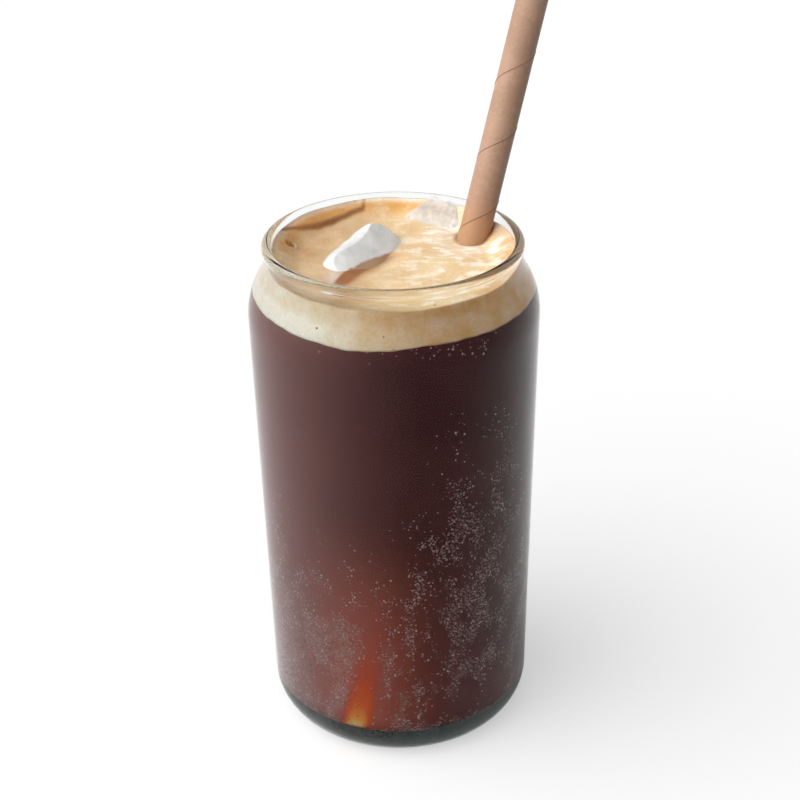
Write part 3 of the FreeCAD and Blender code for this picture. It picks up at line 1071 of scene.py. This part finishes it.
    def height(self, x: np.ndarray, y: np.ndarray) -> np.ndarray:
        """Return the height of the foam's top.

        Args:
            x: places to the right.
            y: places to the back.

        Returns:
            Heights above the surface that the glass stands on.
        """
        radius = np.hypot(x, y)
        outward = smooth_step(radius, self.neck() - self.climb_width, self.neck())
        backward = smooth_step(y, self.climb_y - self.climb_soft,
                               self.climb_y + self.climb_soft)
        climb = outward * backward
        z = self.level() + self.rise * y + self.climb * climb
        step = smooth_step(self.past_ledge(x, y), -self.ledge_soft, self.ledge_soft)
        z = z + self.ledge_rise * step * (1 - climb)
        wave = 2 * math.pi / self.ripple_length
        z = z + self.ripple * np.sin(wave * x) * np.cos(wave * (y - x / 3))
        z = z - self.hollow_depth * self.trough(x, y)
        z = z - self.dip_depth * hump(self.from_straw(x, y), 0.0, self.dip_radius)
        crater = self.crater(x, y)
        z = z - self.crater_depth * smooth_step(crater, 1.0, 0.5)
        z = z + self.crater_rim * hump(crater, 1.35, 0.3)
        edge = smooth_step(radius, self.neck() - self.edge_width, self.neck())
        return z + self.edge_climb * edge ** 2


@dataclass
class FoamPiece:
    """The foam as one closed piece that reaches just into the glass's wall."""

    top: FoamTop
    into_wall: float = 0.10
    underside: float = 33.0
    around: int = 300
    rows: int = 86
    band_rows: int = 22
    lump_size: float = 10.0
    vein_size: float = 4.6
    finish: CoffeeFoam = field(default_factory=CoffeeFoam)

    def stains_and_painted_light(self, x: np.ndarray, y: np.ndarray, z: np.ndarray) -> dict[str, np.ndarray]:
        """Return the amounts of crema, cream and brown, with painted light and shade in
        them.

        Args:
            x: places to the right.
            y: places to the back.
            z: heights.

        Returns:
            Shares from 0 to 1 by attribute name.
        """
        places = np.stack([x, y, z], axis=-1)
        flat = places.reshape(-1, 3)
        lumps = grain(flat, self.lump_size, 4, 1.0).reshape(x.shape)
        veins = grain(flat * [0.9, 1.5, 1.0], self.vein_size, 5, 2.0).reshape(x.shape)
        radius = np.hypot(x, y)
        azimuth = np.degrees(np.arctan2(y, x))
        around_straw = self.top.from_straw(x, y)
        past = self.top.past_ledge(x, y)
        on_top = smooth_step(z - self.top.height(x, y), -0.5, -0.1)
        band = 1 - on_top

        # On top: thick crema on the ledge, painted shade on its step in front of it, cream
        # at the right.
        left_back = smooth_step(np.abs(azimuth - 130), 88, 50)
        ring = smooth_step(radius, 24.5, 28.0)
        ledge = smooth_step(past, 0.0, 1.0)
        far = smooth_step(x, 17.0, 24.0) * smooth_step(radius, 24.0, 28.0)
        tanned = smooth_step(x, 2.0, -12.0) * (1 + 0.6 * lumps)
        right = smooth_step(x, -6.0, 14.0) * (1 - 0.8 * smooth_step(radius, 27.0, 30.0))
        swirl = (0.15 + 0.65 * right) * smooth_step(veins, -0.15, 0.45)
        by_ice = hump(x, -14.2, 2.0) * hump(y, -12.0, 5.0)
        collar = hump(around_straw, 9.0, 3.5)
        rim = left_back * hump(radius, 29.9, 1.0)
        wet = hump(around_straw, 4.4, 0.9)
        crater = smooth_step(self.top.crater(x, y), 1.0, 0.6)
        below = self.top.below_froth_line(places)
        along = self.top.along_froth_line(places)
        froth_line = smooth_step(below, -0.3, 0.3) * smooth_step(below, 3.6, 1.2) \
            * smooth_step(along, -4.0, 1.0) * smooth_step(along, 22.0, 15.0)

        # On the band behind the wall: streaks of crema and painted shade at the right, and
        # cream as painted light at the left and low left.
        streak = hump(azimuth, -84.0, 22.0) * hump(z, 129.4, 1.9) \
            + 0.8 * hump(azimuth, -60.0, 20.0) * hump(z, 130.6, 1.7)
        # Painted shade on the band's right, away from the light.
        painted_shade_right = smooth_step(azimuth, -112, -66) * smooth_step(azimuth, 60, -10)
        # Painted light: cream on the band's lit left and low left.
        left = smooth_step(azimuth, -90, -145)
        painted_light_low_left = smooth_step(azimuth, -95, -140) * smooth_step(z, 128.0, 124.5)

        # Crema also darkens the band's right as painted shade.
        crema = 0.14 + 0.35 * lumps \
            + on_top * (left_back * (0.75 * ring + 0.5 * ledge) + 0.4 * far) \
            + band * (1.3 * streak * (0.9 + 0.5 * lumps) + 0.5 * painted_shade_right)
        # Cream on the band's left and low left is painted light.
        cream = on_top * (swirl + 1.2 * by_ice + 0.35 * collar + 0.6 * rim) \
            + band * (0.2 + 0.45 * left + 0.75 * painted_light_low_left + 0.3 * veins)
        # Brown: staining round the straw, darker on the top's left and far right, dark in
        # the burst bubble; painted shade on the ledge's step and the band's right; staining
        # and painted shade in the hollow and along the froth line.
        stain_and_shade = on_top * (0.75 * hump(past, -0.1, 0.55) + 0.35 * self.top.trough(x, y)
                          + 1.6 * crater + 0.36 * tanned + (0.75 + 0.5 * veins) * wet
                          + 0.8 * froth_line + 0.25 * far) + 0.3 * band * painted_shade_right
        return {"crema": np.clip(crema, 0, 1), "cream": np.clip(cream, 0, 1),
                "stain_and_shade": np.clip(stain_and_shade, 0, 1)}

    def build(self) -> bpy.types.Object:
        """Build and dress the foam.

        Returns:
            The foam piece.
        """
        angles = np.linspace(0, 2 * math.pi, self.around, endpoint=False)
        glass = self.top.glass
        low = self.top.drink_level(angles)
        edge = self.top.neck() + self.into_wall
        rim = self.top.height(edge * np.cos(angles), edge * np.sin(angles))
        radii, heights = [], []
        for share in (0.35, 0.7):
            radii.append(np.full(self.around, share * self.underside))
            heights.append(low)
        for share in np.linspace(0, 1, self.band_rows):
            height = low + (rim - low) * share
            radii.append(glass.inner_radius(height) + self.into_wall)
            heights.append(height)
        for share in np.linspace(1, 0, self.rows)[1:-1]:
            radius = np.full(self.around, edge * share)
            x, y = radius * np.cos(angles), radius * np.sin(angles)
            radii.append(radius)
            heights.append(self.top.height(x, y))
        radii, heights = np.array(radii), np.array(heights)
        layers = self.stains_and_painted_light(radii * np.cos(angles), radii * np.sin(angles), heights)
        piece = turned_mesh("coffee_foam", radii, heights, layers)
        return dress(piece, self.finish.material(), Slot.FOAM, "foam")


# ------------------------------------------------------------------------------ drink

@dataclass
class DrinkPiece:
    """The drink as a closed piece just into the wall, and the bubbles that cling to it."""

    top: FoamTop
    straw: PaperStraw
    into_wall: float = 0.08
    around: int = 300
    rows: int = 130
    overlap: float = 0.4
    bubbles_per_cm2: float = 330.0
    smallest: float = 0.12
    largest: float = 0.37
    patch_size: float = 11.0
    string_size: float = 7.0
    crowd_reach: float = 72.0
    crowd_reach_right: float = 102.0
    flatness: float = 0.5
    seed: int = 11
    glow_follow: float = 0.62
    glow_width: float = 0.45
    glow_fade: float = 17.0
    bubble_skin: PlainFinish = PlainFinish("bubble_skin", "#86625e", "#d6bcb6", 0.5)
    finish: Coffee = field(default_factory=Coffee)

    def glow(self, points: np.ndarray) -> np.ndarray:
        """Return the painted glow where the lit straw shows through to places of the wall.

        Args:
            points: places on the drink's surface.

        Returns:
            Shares that fade with height, as the straw leans away from the wall.
        """
        foot, line = self.straw.foot, self.straw.direction
        x, y, z = points.T
        above = z - foot.z
        middle = foot.x + self.glow_follow * above * line.x / line.z
        across = np.abs(x - middle) / (self.glow_width * self.straw.diameter)
        fade = np.exp(-np.clip(above, 0, None) / self.glow_fade)
        return np.exp(-across ** 4) * fade * (y < 0) * smooth_step(above, -3.0, 0.5)

    def crowding(self, azimuth: np.ndarray, places: np.ndarray) -> np.ndarray:
        """Return how thickly bubbles cling to the wall, from 0 to 1.

        Args:
            azimuth: angles round the glass in degrees.
            places: the same places as an array of points.

        Returns:
            Shares of the full number of bubbles.
        """
        patches = grain(places * [1.0, 1.0, 0.7], self.patch_size, 3, 3.0)
        strings = grain(places * [1.6, 1.6, 0.9], self.string_size, 4, 4.0)
        cluster = smooth_step(0.6 * patches + 0.9 * strings, -0.2, 0.45)
        # They reach higher at the right, thin out at the back and leave a clear spot.
        z = places[:, 2]
        right = smooth_step(np.abs(azimuth + 55), 38, 14)
        reach = self.crowd_reach + (self.crowd_reach_right - self.crowd_reach) * right
        reached = smooth_step(z, reach + 6, reach - 40)
        back = smooth_step(np.abs(azimuth - 90), 90, 60)
        clear = hump(azimuth, -66.0, 15.0) * hump(z, 15.0, 6.0)
        left = hump(azimuth, -150.0, 16.0) * smooth_step(z, 56, 34)
        under_foam = hump(azimuth, -66.0, 24.0) * hump(z, 121.0, 1.6)
        return np.clip(reached * (1 - 0.8 * back) * (1 - clear)
                       * (0.05 + 0.95 * cluster + 0.5 * left) + 0.25 * under_foam, 0, 1)

    def surface(self, name: str, low: float) -> bpy.types.Object:
        """Build the drink's closed surface with the attributes that its looks read.

        Args:
            name: name of the object.
            low: height where the floor's rounding ends and the wall begins.

        Returns:
            The surface, not yet dressed.
        """
        angles = np.linspace(0, 2 * math.pi, self.around, endpoint=False)
        glass = self.top.glass
        edge = self.top.drink_level(angles) + self.overlap
        floor = [p for p in glass.inner_outline()[1:] if p[1] < low]
        radii = [np.full(self.around, p[0] + self.into_wall) for p in floor]
        heights = [np.full(self.around, p[1] - self.into_wall) for p in floor]
        for share in np.linspace(0, 1, self.rows):
            height = low + (edge - low) * share
            radii.append(glass.inner_radius(height) + self.into_wall)
            heights.append(height)
        for share in (0.6, 0.25):
            radii.append(radii[-1] * share)
            heights.append(edge)
        radii, heights = np.array(radii), np.array(heights)
        x, y = radii * np.cos(angles), radii * np.sin(angles)
        places = np.stack([x, y, heights], axis=-1).reshape(-1, 3)
        azimuth = np.degrees(np.arctan2(y, x)).reshape(-1)
        height = places[:, 2]
        glow = self.glow(places)
        crowd = self.crowding(azimuth, places) * (1 - 0.8 * glow ** 0.3)
        left = smooth_step(np.abs(azimuth + 150), 50, 10)
        haze = crowd * (0.25 + 0.35 * left) * smooth_step(height, 70, 15)
        # Painted light: a red glow low on the lit front left.
        painted_light_red = 0.8 * hump(azimuth, -107.0, 24.0) * smooth_step(height, 80, 28)
        # Painted reflection: a pale veil over the left side.
        painted_reflection = 0.22 * smooth_step(np.abs(azimuth + 145), 70, 20) \
            + 0.3 * smooth_step(np.abs(azimuth + 172), 75, 5)
        # The underside is seen only through the thick foot; it is painted pale, bluer at
        # the front right, as painted light let in through the foot.
        foot = smooth_step(height, 7.6, 7.1)
        painted_foot_light = smooth_step(np.abs(azimuth + 45), 60, 10)
        span = (height - height.min()) / (height.max() - height.min())
        layers = {"height": span, "painted_straw_glow": glow, "crowding": crowd, "haze": haze,
                  "painted_light_red": painted_light_red, "painted_reflection": painted_reflection, "foot": foot, "painted_foot_light": painted_foot_light}
        return turned_mesh(name, radii, heights,
                           {key: value.reshape(heights.shape)
                            for key, value in layers.items()})

    def bubble_tree(self, material: bpy.types.Material) -> bpy.types.NodeTree:
        """Make the geometry nodes that scatter flattened bubbles over a surface.

        Args:
            material: material of the bubbles.

        Returns:
            The node tree.
        """
        tree = bpy.data.node_groups.new("clinging_bubbles", "GeometryNodeTree")
        face = tree.interface
        face.new_socket("Geometry", in_out="OUTPUT", socket_type="NodeSocketGeometry")
        face.new_socket("Geometry", in_out="INPUT", socket_type="NodeSocketGeometry")
        for name in ("Per square metre", "Smallest", "Largest", "Flatness"):
            face.new_socket(name, in_out="INPUT", socket_type="NodeSocketFloat")
        face.new_socket("Seed", in_out="INPUT", socket_type="NodeSocketInt")
        given = add_node(tree, "NodeGroupInput").outputs
        crowd = add_node(tree, "GeometryNodeInputNamedAttribute", {"Name": "crowding"},
                         data_type="FLOAT")
        thick = add_node(tree, "ShaderNodeMath",
                         {0: crowd.outputs["Attribute"], 1: given["Per square metre"]},
                         operation="MULTIPLY")
        spread = add_node(tree, "GeometryNodeDistributePointsOnFaces",
                          {"Mesh": given["Geometry"], "Density": thick.outputs[0],
                           "Seed": given["Seed"]})
        chance = add_node(tree, "FunctionNodeRandomValue", {"Seed": given["Seed"]},
                          data_type="FLOAT")
        # Most bubbles are small, so the chance is squared before it sets the size.
        rare = add_node(tree, "ShaderNodeMath", {0: chance.outputs[1], 1: 2.0},
                        operation="POWER")
        size = add_node(tree, "ShaderNodeMapRange",
                        {"Value": rare.outputs[0], "To Min": given["Smallest"],
                         "To Max": given["Largest"]})
        flat = add_node(tree, "ShaderNodeMath",
                        {0: size.outputs["Result"], 1: given["Flatness"]},
                        operation="MULTIPLY")
        # The sphere has a radius of 1, so a bubble's radius is its scale.
        scale = add_node(tree, "ShaderNodeCombineXYZ",
                         {"X": size.outputs["Result"], "Y": size.outputs["Result"],
                          "Z": flat.outputs[0]})
        ball = add_node(tree, "GeometryNodeMeshUVSphere",
                        {"Segments": 6, "Rings": 2, "Radius": 1.0})
        placed = add_node(tree, "GeometryNodeInstanceOnPoints",
                          {"Points": spread.outputs["Points"],
                           "Instance": ball.outputs["Mesh"],
                           "Rotation": spread.outputs["Rotation"],
                           "Scale": scale.outputs["Vector"]})
        light = add_node(tree, "FunctionNodeRandomValue", {"Seed": 5}, data_type="FLOAT")
        stored = add_node(tree, "GeometryNodeStoreNamedAttribute",
                          {"Geometry": placed.outputs["Instances"], "Name": "shine",
                           "Value": light.outputs[1]},
                          data_type="FLOAT", domain="INSTANCE")
        real = add_node(tree, "GeometryNodeRealizeInstances",
                        {"Geometry": stored.outputs["Geometry"]})
        done = add_node(tree, "GeometryNodeSetMaterial",
                        {"Geometry": real.outputs["Geometry"], "Material": material})
        add_node(tree, "NodeGroupOutput", {"Geometry": done.outputs["Geometry"]})
        return tree

    def build(self) -> list[bpy.types.Object]:
        """Build and dress the drink and its bubbles.

        Returns:
            The drink and the bubbles.
        """
        floor = self.top.glass.floor_height + self.top.glass.corner_round
        drink = self.surface("espresso_tonic", floor)
        bed = self.surface("bubble_bed", floor)
        dress(drink, self.finish.material(), Slot.COFFEE, "drink")
        skin = self.bubble_skin.material()
        bubbles = grown("clinging_bubbles", self.bubble_tree(skin),
                        {"Per square metre": self.bubbles_per_cm2 * 1e4,
                         "Smallest": self.smallest * MM, "Largest": self.largest * MM,
                         "Flatness": self.flatness, "Seed": self.seed}, bed)
        dress(bubbles, skin, Slot.COFFEE)
        return [drink, bubbles]


# -------------------------------------------------------------------------------- ice

@dataclass
class IceBlock:
    """A melting ice block: a box with rounded edges, a domed top and an uneven skin."""

    name: str
    node: str
    width: float
    depth: float
    height: float
    edge_round: float
    dome: float
    middle: tuple[float, float, float]
    turn: float
    pitch: float
    roll: float
    finish: WetIce
    top: FoamTop
    wall_gap: float = 0.5
    straw_gap: float = 0.5
    lump: float = 0.25
    lump_size: float = 6.0
    frothed: float = 0.0
    froth_fray: float = 0.5
    fray_size: float = 3.0
    grid: int = 60

    def build(self) -> bpy.types.Object:
        """Build and dress the block.

        Returns:
            The ice block.
        """
        cube, faces = self.cube()
        half = np.array([self.width, self.depth, self.height]) / 2
        core = half - self.edge_round
        points = cube * half
        heart = np.clip(points, -core, core)
        away = points - heart
        away /= np.linalg.norm(away, axis=1)[:, None]
        points = heart + self.edge_round * away
        points[:, 2] -= half[2]
        flat = (points[:, :2] ** 2).sum(axis=1)
        points[:, 2] = np.minimum(points[:, 2], np.sqrt(self.dome ** 2 - flat) - self.dome)
        points += self.lump * grain(points, self.lump_size, 2, 6.0)[:, None] * away
        turn = Euler((math.radians(self.roll), math.radians(self.pitch),
                      math.radians(self.turn)), "XYZ").to_matrix()
        points = self.keep_clear(points @ np.array(turn).T + self.middle)
        # Froth below the line that climbs the ice; its darker brown is partly painted
        # shade.
        fray = self.froth_fray * grain(points, self.fray_size, 3, 9.0)
        edge = self.top.below_froth_line(points) + fray
        froth = self.frothed * smooth_step(edge, 0.0, 0.5)
        piece = mesh_object(self.name, points, faces, {"froth": froth})
        return dress(piece, self.finish.material(), Slot.ICE, self.node)

    def keep_clear(self, points: np.ndarray) -> np.ndarray:
        """Melt points away from the neck's wall and from the straw.

        Args:
            points: places of the block's skin.

        Returns:
            The same places, moved where they would touch.
        """
        radius = np.hypot(points[:, 0], points[:, 1])
        limit = self.top.neck() - self.wall_gap
        points[:, :2] *= np.minimum(1, limit / np.maximum(radius, 1e-6))[:, None]
        straw = self.top.straw
        foot, line = np.array(straw.foot), np.array(straw.direction)
        along = (points - foot) @ line
        axis = foot + along[:, None] * line
        away = points - axis
        gap = np.linalg.norm(away, axis=1)
        need = straw.diameter / 2 + self.straw_gap
        return axis + away * np.maximum(1, need / gap)[:, None]

    def cube(self) -> tuple[np.ndarray, list[tuple[int, ...]]]:
        """Return a closed grid on the sides of a cube from -1 to 1.

        Returns:
            Its points and its quads.
        """
        steps = np.linspace(-1, 1, self.grid + 1)
        index: dict[tuple[int, int, int], int] = {}
        points: list[tuple[float, float, float]] = []

        def number(i: int, j: int, k: int) -> int:
            """Return the vertex number of a grid place on the cube's skin.

            Args:
                i: step along X.
                j: step along Y.
                k: step along Z.

            Returns:
                The number, new or already given.
            """
            if (i, j, k) not in index:
                index[(i, j, k)] = len(points)
                points.append((steps[i], steps[j], steps[k]))
            return index[(i, j, k)]

        faces = []
        last = self.grid
        for a in range(last):
            for b in range(last):
                corners = [(a, b), (a + 1, b), (a + 1, b + 1), (a, b + 1)]
                faces.append(tuple(number(u, v, last) for u, v in corners))
                faces.append(tuple(number(u, v, 0) for u, v in corners[::-1]))
                faces.append(tuple(number(last, u, v) for u, v in corners))
                faces.append(tuple(number(0, u, v) for u, v in corners[::-1]))
                faces.append(tuple(number(v, last, u) for u, v in corners))
                faces.append(tuple(number(v, 0, u) for u, v in corners[::-1]))
        return np.array(points), faces


# -------------------------------------------------------------------------- the stage

@dataclass
class Studio:
    """Plain pale floor, soft dome that is brighter to the left, and the camera."""

    floor_size: float = 6000.0
    aim_x: float = 1.1
    aim_z: float = 91.0
    distance: float = 435.4
    elevation: float = 27.99
    roll: float = -0.97
    lens: float = 74.9
    fill: float = 0.12
    key: float = 4.0
    focus: float = 3.0
    key_direction: tuple[float, float, float] = (-0.8, -0.35, 0.6)
    sensor: float = 36.0
    near: float = 0.01
    floor_white: str = "#fcfcfc"
    floor_grey: str = "#9c9c9c"
    floor_glow: float = 0.5
    floor_drop: float = 0.02

    def floor(self) -> bpy.types.Object:
        """Build the pale floor.

        Returns:
            The floor, just below the surface that the glass stands on.
        """
        half = self.floor_size / 2
        corners = np.array([[-half, -half, 0], [half, -half, 0], [half, half, 0],
                            [-half, half, 0]])
        piece = mesh_object("floor", corners - [0, 0, self.floor_drop], [(0, 1, 2, 3)])
        material, tree, shader = new_material("white_card")
        # White where it is seen, straight, mirrored or through glass, with a faint shadow;
        # a paler bounce would wash out the shaded side of everything that stands on it.
        colour = lay_coats(tree, self.floor_grey,
                           (self.seen(tree, True), self.floor_white))
        tree.links.new(colour, shader.inputs["Base Color"])
        shader.inputs["Roughness"].default_value = 1.0
        shader.inputs["Specular IOR Level"].default_value = 0.0
        white = add_node(tree, "ShaderNodeEmission",
                         {"Color": (1, 1, 1, 1), "Strength": 1.0})
        share = add_node(tree, "ShaderNodeMath",
                         {0: self.seen(tree, False), 1: self.floor_glow},
                         operation="MULTIPLY")
        both = add_node(tree, "ShaderNodeMixShader",
                        {0: share.outputs[0], 1: shader.outputs["BSDF"],
                         2: white.outputs["Emission"]})
        output = next(n for n in tree.nodes if n.type == "OUTPUT_MATERIAL")
        tree.links.new(both.outputs[0], output.inputs["Surface"])
        piece.data.materials.append(material)
        return piece

    @staticmethod
    def seen(tree: bpy.types.NodeTree, mirrored: bool) -> bpy.types.NodeSocket:
        """Return 1 for what is seen straight or through glass, 0 for a bounce.

        Args:
            tree: node tree to add to.
            mirrored: whether what is seen in a gloss counts too.

        Returns:
            The socket with the value.
        """
        path = add_node(tree, "ShaderNodeLightPath")
        straight = path.outputs["Is Camera Ray"]
        if mirrored:
            straight = add_node(tree, "ShaderNodeMath",
                                {0: straight, 1: path.outputs["Is Glossy Ray"]},
                                operation="MAXIMUM").outputs[0]
        through = add_node(tree, "ShaderNodeMath",
                           {0: straight, 1: path.outputs["Is Transmission Ray"]},
                           operation="MAXIMUM")
        direct = add_node(tree, "ShaderNodeMath",
                          {0: 1.0, 1: path.outputs["Diffuse Depth"]},
                          operation="SUBTRACT", use_clamp=True)
        seen = add_node(tree, "ShaderNodeMath",
                        {0: through.outputs[0], 1: direct.outputs[0]},
                        operation="MULTIPLY")
        return seen.outputs[0]

    def world(self) -> None:
        """Light the scene with a soft dome; what the camera sees of it is plain white."""
        world = bpy.data.worlds.new("soft_dome")
        world.use_nodes = True
        bpy.context.scene.world = world
        tree = world.node_tree
        tree.nodes.clear()
        way = add_node(tree, "ShaderNodeTexCoord").outputs["Generated"]
        unit = Vector(self.key_direction).normalized()
        facing = add_node(tree, "ShaderNodeVectorMath", {0: way, 1: unit},
                          operation="DOT_PRODUCT")
        ahead = add_node(tree, "ShaderNodeMath", {0: facing.outputs["Value"], 1: 0.0},
                         operation="MAXIMUM")
        lobe = add_node(tree, "ShaderNodeMath", {0: ahead.outputs[0], 1: self.focus},
                        operation="POWER")
        glow = add_node(tree, "ShaderNodeMath",
                        {0: lobe.outputs[0], 1: self.key, 2: self.fill},
                        operation="MULTIPLY_ADD")
        gloss = add_node(tree, "ShaderNodeLightPath").outputs["Is Glossy Ray"]
        least = add_node(tree, "ShaderNodeMath", {0: glow.outputs[0], 1: gloss},
                         operation="MAXIMUM")
        dome = add_node(tree, "ShaderNodeBackground",
                        {"Color": (1, 1, 1, 1), "Strength": least.outputs[0]})
        white = add_node(tree, "ShaderNodeBackground",
                         {"Color": (1, 1, 1, 1), "Strength": 1.0})
        both = add_node(tree, "ShaderNodeMixShader",
                        {0: self.seen(tree, False), 1: dome.outputs[0],
                         2: white.outputs[0]})
        add_node(tree, "ShaderNodeOutputWorld", {"Surface": both.outputs[0]})

    def camera(self) -> None:
        """Place the camera."""
        data = bpy.data.cameras.new("camera")
        data.lens = self.lens
        data.sensor_width = self.sensor
        data.clip_start = self.near
        piece = bpy.data.objects.new("camera", data)
        bpy.context.scene.collection.objects.link(piece)
        aim = Vector((self.aim_x, 0, self.aim_z)) * MM
        piece.matrix_world = (Matrix.Translation(aim)
                              @ Matrix.Rotation(math.radians(90 - self.elevation), 4, "X")
                              @ Matrix.Rotation(math.radians(self.roll), 4, "Z")
                              @ Matrix.Translation((0, 0, self.distance * MM)))
        bpy.context.scene.camera = piece

    def build(self) -> None:
        """Build the floor, the light and the camera."""
        self.floor()
        self.world()
        self.camera()
        bpy.context.scene.view_settings.view_transform = "Standard"


def main() -> None:
    """Build every piece in order."""
    logging.basicConfig(level=logging.INFO, format="%(name)s %(message)s")
    glass = CanGlass()
    straw = PaperStraw(glass=glass)
    top = FoamTop(glass=glass, straw=straw)
    Studio().build()
    glass.build()
    straw.build()
    FoamPiece(top).build()
    DrinkPiece(top, straw).build()
    IceBlock("ice_front", "front_ice", width=23.4, depth=26.0, height=22.4, edge_round=5.4,
             dome=48.0, middle=(-1.67, -1.26, 129.8), turn=-24.3, pitch=42.3, roll=11.0,
             finish=WetIce("cloudy_ice", 0.2), frothed=0.9, top=top).build()
    IceBlock("ice_back", "back_ice", width=17.6, depth=14.9, height=15.0, edge_round=3.0,
             dome=29.0, middle=(13.4, 21.1, 133.6), turn=-46.7, pitch=20.0, roll=22.0,
             finish=WetIce("clear_ice", 0.6, shade="#e2e8ea", streak=5.0, bump=1.0),
             top=top).build()


if __name__ == "__main__":
    main()
